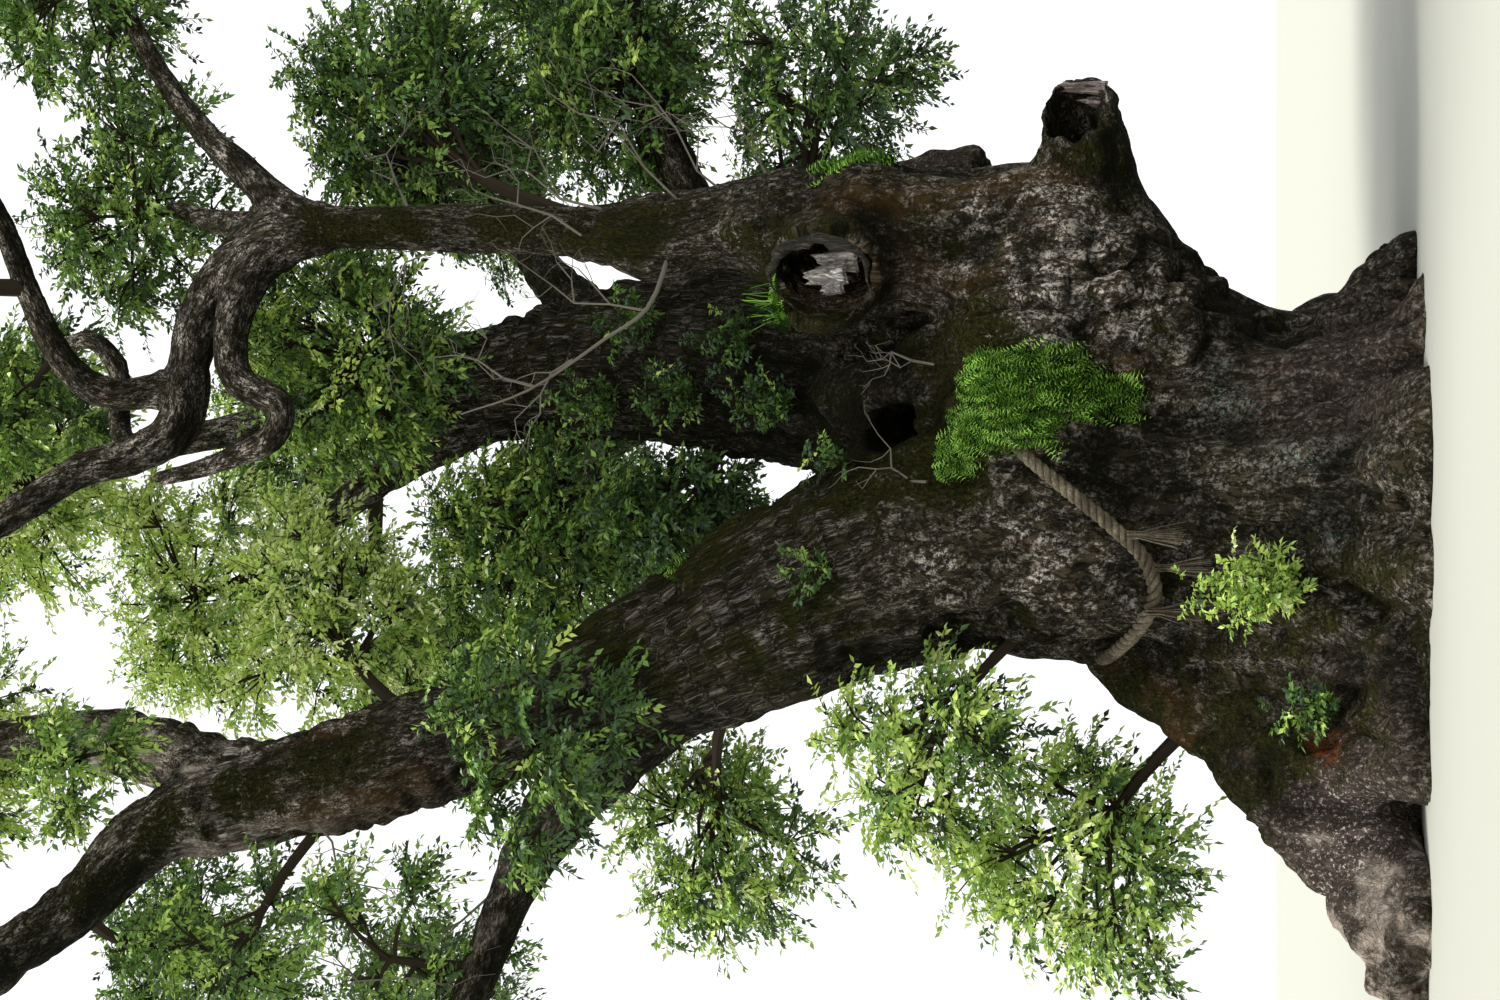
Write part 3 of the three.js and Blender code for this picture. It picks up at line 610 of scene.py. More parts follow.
def creased(noise_value):
    """Rounded humps with sharp creases between them, about zero on average."""
    return 2.3 * np.abs(noise_value) - 0.7


def around(points, places):
    """The sum of the weights of the places, each full near its centre and nothing at its reach."""
    total = 0
    for weight, centre, reach in places:
        offset = (points - np.array(centre)) / np.array(reach)
        total = total + weight * np.clip(1.25 * (1 - np.sqrt((offset**2).sum(axis=1))), 0, 1)
    return total


def bark_height(points, grain, girth, owner):
    """How far the bark stands out at each point, in metres."""
    strength = np.clip(girth / 0.75, 0.2, 1.1)
    on_trunk = owner < len(trunk_lobes)
    wander = np.stack([lattice_noise(points * 0.55, seed) for seed in (3, 4, 6)], 1)
    calm = around(points, SMOOTH)
    flutes = FLUTE_DEPTH * creased(lattice_noise((grain * [1, 1, 0.13] + 0.22 * wander) * 1.45, 21))
    flutes *= np.where(on_trunk, np.clip(1.25 - points[:, 2] / 6, 0.25, 1), 0.3) * (1 - 0.75 * calm)
    ribs = RIB_DEPTH * creased(layered_noise((grain * [1, 1, 0.24] + 0.2 * wander) * 2.9, 2, 25))
    ribs *= np.where(on_trunk, 1, 0.6)
    lumps = LUMP_DEPTH * layered_noise(points * 0.85, 2, 31) * np.where(on_trunk, 0.8, 0.5)
    gnarled = np.clip(0.5 + layered_noise(points * 0.5, 2, 51) + around(points, GNARLED), 0.2, 2.4)
    gnarled = gnarled * (1 - 0.5 * calm) + around(points, ROOT_KNOBS)
    knobs = KNOB_DEPTH * creased(lattice_noise(points * 2.9 + wander, 41)) * gnarled
    knobs += CREASE_DEPTH * creased(lattice_noise(points * 3.9 - wander, 43)) * around(points, ROOT_CREASES)
    whole = (flutes + ribs + lumps + knobs) * strength * (1 - around(points, QUIET))
    return np.where(whole > 0, HIGHEST * np.tanh(whole / HIGHEST), whole)


def knot_place(points):
    """How far each point stands in front of the knot's mouth, and how far off its axis."""
    offset = points - KNOT_MOUTH
    along = offset @ KNOT_AXIS
    return along, np.linalg.norm(offset - along[:, None] * KNOT_AXIS, axis=1)


def swell_rims(points):
    """A rounded lip round the knot, a ragged edge on the stub, and how much quieter the bark is there."""
    along, ring = knot_place(points)
    near = np.exp(-((along - 0.1) / 0.45) ** 2) * (ring < 1.1)
    mouth = around(points, STUB_MOUTH)
    lip = LIP_DEPTH * near * np.exp(-((ring - 0.72) / 0.13) ** 2)
    return lip + RAGGED_DEPTH * mouth * layered_noise(points * 4.5, 2, 15), np.maximum(near, mouth)


normals = skin_normals(skin_points, skin_quads)
if np.mean((normals * (skin_points - skin_points.mean(axis=0))).sum(axis=1)) < 0:
    skin_quads = skin_quads[:, ::-1]
    normals = -normals
rim_height, on_rim = swell_rims(skin_points)
height = bark_height(skin_points, grain, girth, owner) * (1 - 0.75 * on_rim) + rim_height
bark_points = skin_points + normals * height[:, None]
bark_points[:, 2] = np.where(bark_points[:, 2] < GROUND_SNAP, 0, bark_points[:, 2])
bark_quads = skin_quads[(bark_points[skin_quads][:, :, 2] > 0).any(axis=1)]
bark_normals = skin_normals(bark_points, bark_quads)
print("bark squares", len(bark_quads), "relief", round(float(height.min()), 2), round(float(height.max()), 2))

# %% [markdown]
# Moss grows where rain stays: on upper sides, in the crotch and down the shaded side of the left leader.
# The overhang and the high limbs have shed their outer bark in pinkish pale patches, ochre algae run down
# the right stem, grey-green lichen dots the middle, and the left root is bare and reddish, with a small
# rotten notch. These places are measured here, point by point, and kept as masks with the mesh, along
# with painted shade in the hollows of the relief, on undersides, in the crotch and on the back leader,
# and a darker hump on the left flare. Fine noise in the material then frays their edges.

# %% Where moss, algae, pale patches and painted shade lie
# Each streak is [x, y, z, half breadth] along its way, in millimetres
MOSS_STREAKS = [
    [
        [-7900, -2100, 21900, 200], [-6200, -1250, 20000, 300],
        [-5000, -900, 18500, 330], [-3900, -1000, 15600, 200],
    ],
    [[-1900, -1000, 12600, 150], [-600, -1300, 9900, 250], [100, -1300, 8400, 300], [300, -1600, 7000, 350]],
    [[4300, -900, 16500, 150], [4200, -1200, 11800, 300], [3700, -2000, 9200, 350], [3000, -2700, 8500, 200]],
    [[-3000, -1900, 4200, 200], [-3600, -2300, 2600, 350], [-3300, -2900, 1500, 250]],
]
HIGH_STREAKS = [
    [[-4050, 200, 22000, 350], [-4150, -300, 20200, 380], [-4000, -500, 18300, 300]],
    [[-5700, -700, 19000, 380], [-5450, -500, 17400, 300], [-4900, -800, 15400, 120]],
]
TORN_EDGE = [
    [4480, -1480, 6100, 80], [4560, -1500, 5250, 110], [5000, -1800, 4750, 90], [5150, -2000, 4350, 70],
    [5500, -2000, 3950, 70], [5850, -1850, 4300, 90], [5700, -1800, 4850, 80],
]
PALE_STREAKS = HIGH_STREAKS + [
    [[3150, -2500, 6500, 250], [2700, -2300, 5600, 400], [3000, -2300, 4300, 550]],
    [[3900, -1600, 9350, 170], [3650, -1800, 8900, 120]],
    TORN_EDGE,
]
ALGAE_STREAKS = [
    [[-4000, -900, 17300, 200], [-3650, -1000, 15900, 180]],
    [[4000, -1900, 7500, 300], [4000, -1900, 6200, 420], [4150, -1900, 4900, 350]],
    [[3300, -2100, 7000, 150], [2900, -2200, 6000, 200]],
    [[-5150, -500, 16700, 150], [-4650, -700, 14700, 200]],
    [[1700, -2700, 4600, 150], [1500, -3000, 2600, 300]],
    [[-2980, -2450, 1500, 60], [-3080, -2700, 1150, 60]],
    [[-2450, -1500, 4100, 100], [-2900, -1700, 3300, 180], [-3350, -2000, 2500, 220]],
]
# Places are [weight, centre, reach], in metres
SHADED = [
    [1, (0.4, -0.9, 9.2), (1.9, 2.2, 3.6)], [1, (1.3, -1.3, 6.6), (2.6, 2.2, 1.7)],
    [1, (-3.6, -1.3, 2.6), (1.7, 1.8, 1.7)], [0.8, (3.1, -1.4, 8.2), (1.6, 1.6, 1.4)],
    [0.85, (3.6, -2.0, 6.9), (1.4, 1.6, 1.6)], [0.9, (4.6, -1.9, 3.9), (1.6, 1.2, 0.9)],
    [0.3, (2.4, -2.6, 2.6), (1.8, 1.4, 1.5)], [0.8, (1.7, -2.2, 5.6), (0.8, 1.4, 1.2)],
    [0.8, (3.1, -2.4, 7.9), (1.0, 1.0, 1.1)], [0.95, (-1.8, -1.4, 10.0), (1.8, 1.7, 4.4)],
]
WITHOUT_MOSS = [
    [0.8, (-5.0, -2.7, 0.7), (2.2, 2.0, 1.5)], [1, *VEE],
    [0.75, (1.6, -2.4, 0.6), (3.2, 2.4, 2.3)], [0.9, (5.7, -1.6, 4.5), (0.8, 1.2, 1.0)],
]
SHED = [
    [1, (2.9, -1.9, 4.0), (2.7, 2.0, 1.9)], [0.75, (3.6, -1.8, 5.9), (1.3, 1.5, 1.5)],
    [0.5, (-1.0, -2.4, 5.2), (1.4, 1.5, 2.6)], [0.3, *VEE],
]
LICHEN = [
    [1, (1.85, -2.7, 3.2), (0.6, 1.2, 1.1)], [1, (1.35, -2.9, 2.45), (0.9, 1.1, 0.6)],
    [1, (0.05, -3.1, 2.0), (1.1, 1.1, 0.9)], [1, (0.5, -3.2, 1.3), (0.4, 1.1, 1.1)],
    [1, (-0.15, -3.3, 0.85), (0.9, 1.1, 0.8)],
]
REDDISH = [
    [1, (-4.2, -2.6, 0.9), (2.9, 2.4, 1.7)], [0.8, (5.1, -0.2, 6.7), (0.6, 1.0, 1.0)],
    [0.55, (1.7, -2.4, 0.8), (2.0, 2.0, 2.1)], [0.4, *VEE], [0.8, (5.6, -1.7, 4.3), (0.5, 0.8, 0.5)],
]
# The next places get painted shade: the back leader and the crotch, which stand in shade.
PAINTED_SHADE = [[1.5, (2.0, 2.4, 9.0), (2.6, 2.6, 4.8)], [1, (1.2, -0.6, 7.3), (1.8, 1.8, 1.9)]]
# The next place is darker: a hump on the left flare.
DARK_HUMP = [[0.5, (-3.3, -1.9, 2.1), (1.6, 1.8, 1.1)]]
BARE_ROOT = [[1.9, (-5.9, -3.1, 0.3), (1.5, 1.5, 1.1)]]
HIGH_LIMBS = 13


def along_streaks(points, streaks, fade):
    away = np.min([cone_distance(points, chain(metres(streak))) for streak in streaks], axis=0)
    return np.clip(1 - away / fade, 0, 1)


def growth_masks(points, normals, owner, height):
    """Eight masks for each point: (moss, pale, algae, lichen) and (red, painted shade in the
    hollows of the relief, painted shade with a darker hump, bare).
    """
    x, y, z = points.T
    up = normals[:, 2]
    patch = layered_noise(points * 0.8, 3, 61)
    fine = layered_noise(points * 2.6, 3, 71)
    streak = layered_noise(points * [1.9, 1.9, 0.42], 3, 81)

    upward = np.clip(up * 1.7 - 0.2 + 0.6 * patch, 0, 1) * np.where(owner < len(trunk_lobes), 0.9, 0.8)
    shaded = around(points, SHADED) + 1.1 * along_streaks(points, MOSS_STREAKS, 0.45)
    moss = np.clip(upward + shaded * (0.75 + 0.9 * patch + 0.5 * fine), 0, 1)
    moss *= np.clip(0.9 + 0.6 * fine, 0, 1)
    for place in WITHOUT_MOSS:
        moss *= 1 - around(points, [place])
    shed = around(points, SHED) + along_streaks(points, PALE_STREAKS, 0.4)
    shed += np.clip((z - HIGH_LIMBS) / 5, 0, 1) * 0.65
    pale = np.clip(shed * (0.7 + 1.1 * fine) * np.clip(1.05 - up * 0.7, 0.2, 1.2), 0, 1)
    algae = np.clip(along_streaks(points, ALGAE_STREAKS, 0.5) * (0.95 + 1.6 * streak), 0, 1)
    lichen = np.clip(around(points, LICHEN) * (0.6 + 2.2 * patch), 0, 1)

    red = np.clip(around(points, REDDISH), 0, 1)
    # Painted shade in the hollows of the bark's relief: the deeper a point lies, the darker.
    hollow_shade = np.clip(-height / 0.13, 0, 1)
    # Painted shade on downward faces, above the foot.
    under = np.clip(-1.6 * up, 0, 1) * np.clip((z - 0.8) / 1.2, 0, 1)
    # Painted shade in the crotch, on the back leader and on downward faces, with a darker hump on the left
    # flare, in one mask.
    shade_and_dark_hump = np.clip(around(points, PAINTED_SHADE) * (y > -1.9) + under + around(points, DARK_HUMP), 0, 1)
    bare = np.clip(around(points, BARE_ROOT) + 0.9 * fine, 0, 1) * (x < -4.2)
    bare = np.maximum(bare, 0.8 * along_streaks(points, HIGH_STREAKS, 0.3) * (z > HIGH_LIMBS - 1))
    bare = np.maximum(bare, 0.85 * along_streaks(points, [TORN_EDGE], 0.14))

    along, ring = knot_place(points)
    in_knot = (ring < KNOT_RADIUS) & (along < 0.05) & (along > -KNOT_DEPTH)
    pale = np.where(in_knot, 0.35, pale)
    algae = np.where(in_knot, 0.75 - 0.5 * fine, algae)
    moss, shade_and_dark_hump, hollow_shade = (np.where(in_knot, 0, mask) for mask in (moss, shade_and_dark_hump, hollow_shade))
    return np.stack([moss, pale, algae, lichen], 1), np.stack([red, hollow_shade, shade_and_dark_hump, bare], 1)


growth, tone_and_shade = growth_masks(bark_points, bark_normals, owner, height)
print("mean moss", round(float(growth[:, 0].mean()), 2), "mean pale", round(float(growth[:, 1].mean()), 2))

# %% [markdown]
# Bark, dead wood and straw are all made of fibres: long cracks with ragged flakes between them. One node
# group draws that pattern once, and each material gives it its own scale and stretch. It puts out a
# height for the bump, the cracks, and loose flecks.

# %% A node group for fibres


class Shading:
    """Short ways to add nodes to one shader tree. An input is a socket or a value."""

    def __init__(self, tree):
        self.tree = tree

    def node(self, kind, inputs=None, **settings):
        node = self.tree.nodes.new(kind)
        for key, value in settings.items():
            setattr(node, key, value)
        for key, value in (inputs or {}).items():
            if isinstance(value, bpy.types.NodeSocket):
                self.tree.links.new(value, node.inputs[key])
            else:
                node.inputs[key].default_value = value
        return node

    def math(self, operation, *values):
        return self.node("ShaderNodeMath", dict(enumerate(values)), operation=operation).outputs[0]

    def vector(self, operation, inputs):
        return self.node("ShaderNodeVectorMath", inputs, operation=operation).outputs[0]

    def times(self, a, b):
        return self.math("MULTIPLY", a, b)

    def line(self, value, factor, offset):
        return self.math("MULTIPLY_ADD", value, factor, offset)

    def mix(self, factor, below, above):
        return self.node("ShaderNodeMix", {0: factor, 6: below, 7: above}, data_type="RGBA").outputs[2]

    def spread(self, value, low, high):
        """Stretch a value so that low becomes 0 and high becomes 1."""
        node = self.node("ShaderNodeMapRange", {0: value, 1: low, 2: high}, interpolation_type="SMOOTHSTEP")
        return node.outputs[0]

    def noise(self, vector, scale, detail, roughness):
        inputs = {"Vector": vector, "Scale": scale, "Detail": detail, "Roughness": roughness}
        return self.node("ShaderNodeTexNoise", inputs).outputs["Fac"]

    def masks(self, name):
        """The four channels of a colour attribute."""
        outputs = self.node("ShaderNodeAttribute", attribute_name=name).outputs
        return *self.node("ShaderNodeSeparateColor", {0: outputs["Color"]}).outputs[:3], outputs["Alpha"]

    def place(self):
        return self.node("ShaderNodeTexCoord").outputs["Object"]

    def fibres(self, vector, scale, stretch):
        inputs = {"Vector": vector, "Scale": scale, "Stretch": stretch}
        return self.node("ShaderNodeGroup", inputs, node_tree=FIBRES).outputs

    def dress(self, colour, height, strength, distance):
        """Give the tree's surface its colour and bump."""
        shader = self.tree.nodes["Principled BSDF"]
        bump = self.node("ShaderNodeBump", {"Height": height, "Strength": strength, "Distance": distance})
        self.tree.links.new(colour, shader.inputs["Base Color"])
        self.tree.links.new(bump.outputs[0], shader.inputs["Normal"])


def fibre_group():
    group = bpy.data.node_groups.new("fibres", "ShaderNodeTree")
    for label in ("Vector", "Scale", "Stretch"):
        kind = "NodeSocketVector" if label == "Vector" else "NodeSocketFloat"
        group.interface.new_socket(label, in_out="INPUT", socket_type=kind)
    for label in ("Height", "Cracks", "Flecks"):
        group.interface.new_socket(label, in_out="OUTPUT", socket_type="NodeSocketFloat")
    given = group.nodes.new("NodeGroupInput").outputs
    result = group.nodes.new("NodeGroupOutput").inputs
    s = Shading(group)
    squeeze = s.node("ShaderNodeCombineXYZ", {0: 1.0, 1: 1.0, 2: given["Stretch"]}).outputs[0]
    drawn = s.vector("MULTIPLY", {0: given["Vector"], 1: squeeze})
    wobble = s.node("ShaderNodeTexNoise", {"Vector": drawn, "Scale": 3.0, "Detail": 3.0}).outputs["Color"]
    bent = s.vector("ADD", {0: drawn, 1: s.vector("SCALE", {0: wobble, 3: 0.22})})
    ridge = s.math("ABSOLUTE", s.math("SUBTRACT", s.noise(bent, given["Scale"], 4.0, 0.62), 0.5))
    plates = s.spread(ridge, 0.0, 0.085)
    rough = s.noise(bent, s.times(given["Scale"], 2.6), 6.0, 0.72)
    loose = s.noise(bent, s.times(given["Scale"], 1.7), 4.0, 0.8)
    whole = s.times(plates, s.spread(rough, 0.2, 0.5))
    group.links.new(s.line(s.spread(rough, 0.34, 0.66), 0.45, s.times(plates, 0.6)), result["Height"])
    group.links.new(s.math("SUBTRACT", 1.0, whole), result["Cracks"])
    group.links.new(s.spread(loose, 0.47, 0.6), result["Flecks"])
    return group


FIBRES = fibre_group()
print("group", FIBRES.name, [item.name for item in FIBRES.interface.items_tree])

# %% [markdown]
# The bark's colour is built as it weathers: dark brown wood in the cracks, grey-brown flakes on top, pale
# inner bark where flakes have dropped, then algae, lichen and moss over it. Last comes painted shade, in
# the hollows of the relief, on undersides, in the crotch and on the back leader, and a darker hump on the
# left flare. The masks say where, the fibres say how ragged.

# %% The bark material
# The crack colour is also the colour of the painted shade.
CRACK_AND_SHADE = (0.006, 0.0062, 0.003, 1)
FLAKE = (0.033, 0.029, 0.015, 1)
WORN = (0.081, 0.067, 0.040, 1)
SHED_WOOD = (0.150, 0.117, 0.083, 1)
PALE = (0.88, 0.80, 0.73, 1)
BARE = (0.62, 0.52, 0.44, 1)
RED = (0.118, 0.088, 0.076, 1)
MOSS_DARK = (0.011, 0.012, 0.003, 1)
MOSS_LIGHT = (0.050, 0.048, 0.011, 1)
ALGAE = (0.092, 0.047, 0.011, 1)
LICHEN_GREY = (0.31, 0.40, 0.36, 1)
ROTTEN = (0.34, 0.10, 0.035, 1)


def bark_material():
    material = plain_material("bark", FLAKE, 0.95, 0.06)
    s = Shading(material.node_tree)
    own = s.node("ShaderNodeAttribute", attribute_name="grain").outputs["Vector"]
    moss, pale, algae, lichen = s.masks("growth")
    red, hollow_shade, shade_and_dark_hump, bare = s.masks("tone_and_shade")
    fibres = s.fibres(own, 7.0, 0.52)
    place = s.place()
    broad = s.noise(place, 1.3, 6.0, 0.65)
    speck = s.noise(place, 11.0, 6.0, 0.8)
    crumb = s.noise(own, 19.0, 4.0, 0.75)

    colour = s.mix(s.spread(broad, 0.36, 0.64), FLAKE, WORN)
    colour = s.mix(red, colour, RED)
    colour = s.mix(s.times(pale, 0.85), colour, SHED_WOOD)
    lengthwise = s.vector("MULTIPLY", {0: own, 1: (1.0, 1.0, 0.62)})
    patches = s.spread(s.noise(lengthwise, 5.2, 6.0, 0.8), 0.46, 0.56)
    torn = s.times(patches, s.spread(crumb, 0.45, 0.54))
    loose = s.times(torn, s.line(s.times(pale, pale), 2.6, 0.34))
    loose = s.times(loose, s.math("MAXIMUM", s.line(red, -1.4, 1.0), 0.0))
    colour = s.mix(s.math("MINIMUM", loose, 0.95), colour, PALE)
    washed = s.times(bare, s.spread(broad, 0.42, 0.56))
    colour = s.mix(s.times(washed, 0.9), colour, BARE)
    speckles = s.times(s.times(red, red), s.spread(crumb, 0.55, 0.61))
    colour = s.mix(s.times(speckles, 0.95), colour, PALE)
    cracked = s.line(red, -0.4, s.line(bare, -0.35, 0.86))
    colour = s.mix(s.times(fibres["Cracks"], cracked), colour, CRACK_AND_SHADE)

    streaks = s.times(algae, s.spread(speck, 0.34, 0.58))
    colour = s.mix(s.times(streaks, 0.85), colour, ALGAE)
    rotten = s.times(s.spread(s.times(algae, red), 0.3, 0.7), s.spread(speck, 0.42, 0.55))
    colour = s.mix(rotten, colour, ROTTEN)
    dots = s.times(lichen, s.spread(s.noise(place, 17.0, 5.0, 0.8), 0.53, 0.6))
    colour = s.mix(s.times(dots, 0.9), colour, LICHEN_GREY)
    frayed = s.times(moss, s.line(speck, 3.0, -0.65))
    moss_colour = s.mix(s.spread(crumb, 0.38, 0.64), MOSS_DARK, MOSS_LIGHT)
    colour = s.mix(s.spread(frayed, 0.2, 0.78), colour, moss_colour)
    # Painted shade: the hollows of the relief, downward faces, the crotch and the back leader turn towards
    # the crack colour, and so does a darker hump on the left flare.
    shade = s.line(hollow_shade, 0.55, s.times(shade_and_dark_hump, 0.78))
    colour = s.mix(s.math("MINIMUM", shade, 0.9), colour, CRACK_AND_SHADE)
    s.dress(colour, fibres["Height"], 1.0, 0.07)
    return material


bark = bark_material()
print("bark nodes", len(bark.node_tree.nodes))

# %% The skin becomes bark
BOUGH_FINENESS = [1.6, 1.6, 0.95]
LEFT_WOOD = ["left_leader", "left_fork", "centre_fork", "left_arm", "left_back_bough", "front_left_bough"]
RIGHT_WOOD = [name for name in boughs if name not in LEFT_WOOD]


def corner_grain(points, quads, owner, grain, lean):
    """Grain for the corners of each face, all four in the space of one limb."""
    corners = grain[quads]
    first = quads[:, 0]
    mixed = np.where((owner[quads] != owner[first][:, None]).any(axis=1))[0]
    direction = lean[first[mixed]]
    across, depth = cross_directions(direction)
    on_trunk = (owner[first[mixed]] < len(trunk_lobes))[:, None]
    ways = np.where(on_trunk, [1.0, 0, 0], across), np.where(on_trunk, [0, 1.0, 0], depth), direction
    for k in range(4):
        step = points[quads[mixed, k]] - points[first[mixed]]
        corners[mixed, k] = grain[first[mixed]] + np.stack([(step * way).sum(axis=1) for way in ways], 1)
    return corners


def bark_piece(name, nodes):
    on_trunk = nodes == ["trunk"]
    numbers = [list(boughs).index(node) for node in nodes if not on_trunk]
    chosen = np.where(face_owner < 0 if on_trunk else np.isin(face_owner, numbers))[0]
    used, local = np.unique(bark_quads[chosen], return_inverse=True)
    piece = mesh_object(name, "bark", bark_points[used], local.reshape(-1, 4), [bark], smooth=True)
    layer = piece.data.attributes.new("grain", "FLOAT_VECTOR", "CORNER")
    fineness = [1, 1, 1] if on_trunk else BOUGH_FINENESS
    layer.data.foreach_set("vector", (bark_grain[chosen] * fineness).astype(np.float32).ravel())
    for label, values in (("growth", growth), ("tone_and_shade", tone_and_shade)):
        layer = piece.data.attributes.new(label, "FLOAT_COLOR", "POINT")
        layer.data.foreach_set("color", values[used].astype(np.float32).ravel())
    piece.data.normals_split_custom_set_from_vertices(bark_normals[used])
    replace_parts(piece, *nodes)


bark_grain = corner_grain(bark_points, bark_quads, owner, grain, lean)
face_owner = owner[bark_quads[:, 0]] - len(trunk_lobes)
bark_piece("trunk_bark", ["trunk"])
bark_piece("left_wood", LEFT_WOOD)
bark_piece("right_wood", RIGHT_WOOD)

# %% [markdown]
# Each mass of leaves in the solids stands for a cloud of foliage on the end of a bough. Here it is grown
# again by the same rule, and then finer: the stem enters the cloud, limbs fan out on an even spiral to
# smaller clouds near its outside, each of those carries twigs, and each twig carries sprays. The spaces
# between the small clouds stay open, which is what lets sky shine through a real crown.

# %% Where the masses of leaves sit
# [carrier, share of the way along it or place on the trunk, centre, radii, kind], in millimetres. The kind
# sets how many clouds a mass has, and the painted light and shade of its greens
MASSES = {
    "low_left_outer": ["trunk", [-2500, -700, 2300], [-5300, 200, 4500], [2400, 2000, 2300], "sunny"],
    "low_left_inner": ["trunk", [-1500, -900, 4900], [-3500, -1600, 6500], [1900, 1500, 1700], "sunny"],
    "mid_left": ["left_leader", 0.28, [-5700, 2600, 10700], [2600, 2100, 2300], "fresh_and_lit"],
    "leader_front": ["left_leader", 0.42, [-3500, -2600, 12000], [2200, 1400, 1900], "deep"],
    "left_arm_rise": ["left_arm", 0.52, [-7000, -1400, 15000], [2000, 1900, 1600], "lacy"],
    "left_arm_tip": ["left_arm", 1, [-11700, -2500, 16700], [2900, 2900, 2500], "lacy"],
    "left_rod": ["left_leader", 0.7, [-7500, -700, 17900], [2200, 2000, 1900], "lacy"],
    "fork_front": ["centre_fork", 0.4, [-4200, -1350, 20300], [1150, 1000, 1300], "fresh_and_lit"],
    "left_top": ["left_fork", 1, [-9900, -2900, 24600], [3200, 3000, 2400], "lacy"],
    "centre_top": ["centre_fork", 1, [-4700, 1500, 25400], [3200, 3100, 2100], "backlit"],
    "front_left": ["front_left_bough", 1, [-5900, -7100, 23500], [3300, 3100, 2200], "fresh_and_lit"],
    "left_back": ["left_back_bough", 1, [-10400, 5300, 17000], [3200, 3200, 2600], "middle"],
    "back_left": ["back_left_bough", 0.55, [-3900, 8100, 18400], [3000, 2800, 2500], "fresh_and_lit"],
    "centre_mid": ["left_leader", 0.62, [-2000, 2600, 17900], [2800, 2300, 2700], "backlit"],
    "centre_high": ["back_left_bough", 1, [-1900, 5300, 22300], [2900, 2700, 2300], "backlit"],
    "centre_low": ["back_leader", 0.62, [-700, 3700, 14400], [2800, 2200, 2500], "full"],
    "back_low": ["back_leader", 0.4, [-1900, 7200, 12200], [2900, 2700, 2300], "deep"],
    "centre_right": ["back_leader", 0.85, [2500, 1900, 17200], [2900, 1900, 2600], "full"],
    "crown": ["crown_bough", 1, [500, 3600, 24900], [3400, 3300, 2300], "backlit"],
    "curl": ["s_curl", 1, [1800, 1500, 23200], [1700, 1400, 1500], "middle"],
    "stem_right": ["right_leader", 0.46, [6600, 2100, 16100], [2800, 2400, 2800], "thick"],
    "right_mid": ["right_back_bough", 0.6, [7300, 3100, 12700], [2800, 2300, 2100], "thick"],
    "right_tip": ["right_back_bough", 1, [10900, 3200, 14500], [3000, 3000, 2500], "middle"],
    "right_low": ["back_leader", 0.2, [7000, 4000, 9300], [2900, 2600, 2300], "deep"],
    "right_top": ["right_top_bough", 1, [5000, 1500, 21100], [2800, 2300, 2200], "middle"],
    "right_high": ["right_high_bough", 1, [9300, 1100, 22000], [3100, 3000, 2400], "middle"],
    "rise_tip": ["s_rise", 1, [7100, -3100, 24000], [2800, 2700, 2000], "fresh_and_lit"],
    "s_tip": ["s_up", 1, [-1800, -3000, 24400], [2700, 2700, 1900], "backlit"],
    "back_tip": ["back_mid_bough", 1, [-300, 11400, 16600], [3100, 2900, 2600], "middle"],
    "back_right": ["back_right_bough", 1, [7000, 9900, 18300], [3100, 3000, 2600], "middle"],
    "back_high": ["back_high_bough", 1, [1600, 9400, 22300], [3200, 3000, 2400], "fresh_and_lit"],
    "front_right": ["s_rise", 0.62, [3300, -6600, 24000], [3000, 2900, 2000], "fresh_and_lit"],
    "right_back": ["back_right_bough", 0.5, [9800, 7500, 15400], [2700, 2600, 2200], "middle"],
    "left_high": ["left_fork", 0.5, [-8500, 3400, 21300], [2600, 2600, 2000], "middle"],
    "between": ["back_leader", 0.3, [-400, 2700, 11400], [1500, 1500, 1900], "dense"],
}
CLOUDS_PER_AREA = {
    "backlit": 3.3, "sunny": 3.5, "fresh_and_lit": 3.1, "middle": 3.0, "full": 4.8,
    "deep": 2.9, "thick": 4.8, "dense": 5.5, "lacy": 2.1,
}
GOLDEN_ANGLE = 2.39996
STEM_SHARE = 0.058
STEM_TIP = 0.05
CLOUD_SHARE = 0.38
SQUASH = np.array([1, 1, 0.78])
TWIGS_PER_CLOUD = 7
SPRAYS_PER_TWIG = 6
LEAVES_PER_SPRAY = 13
SPRAY_LENGTH = 0.62
LEAF_LENGTH = 0.145
LEAF_BREADTH = 0.5
TWIG_LIMIT = 0.83
TIP_MARGIN = 0.12
# [radius at the foot, radius at the tip, sides] of the limbs and twigs in a mass
LIMB_TUBE = 0.05, 0.026, 4
TWIG_TUBE = 0.024, 0.011, 3


def spiral_directions(count, draw, lowest=-1.0):
    """Directions spread evenly over the sphere, or over the part of it above a height."""
    directions = []
    for i in range(count):
        height = 1 - (1 - lowest) * (i + 0.5) / count + 0.3 * (draw() - 0.5)
        height = max(-1.0, min(1.0, height))
        angle = i * GOLDEN_ANGLE + 0.9 * draw()
        flat = math.sqrt(1 - height * height)
        directions.append((flat * math.cos(angle), flat * math.sin(angle), height))
    return np.array(directions)


def arched(start, end, lift, steps):
    """Points of limbs from start to end, lifted in the middle. Works on many limbs at once."""
    s = np.linspace(0, 1, steps)[None, :, None]
    line = start[:, None] * (1 - s) + end[:, None] * s
    line[:, :, 2] += (lift * np.linalg.norm(end - start, axis=1))[:, None] * np.sin(np.pi * s[0, :, 0])
    return line


def places_along(path, shares):
    along = shares * (len(path) - 1)
    before = np.minimum(along.astype(int), len(path) - 2)
    rest = (along - before)[:, None]
    return path[before] * (1 - rest) + path[before + 1] * rest


class Growth:
    """Collects the wood and the sprays of one region while it grows."""

    def __init__(self):
        self.masses = []
        self.tubes = []
        self.roots = []
        self.ways = []
        self.kinds = []


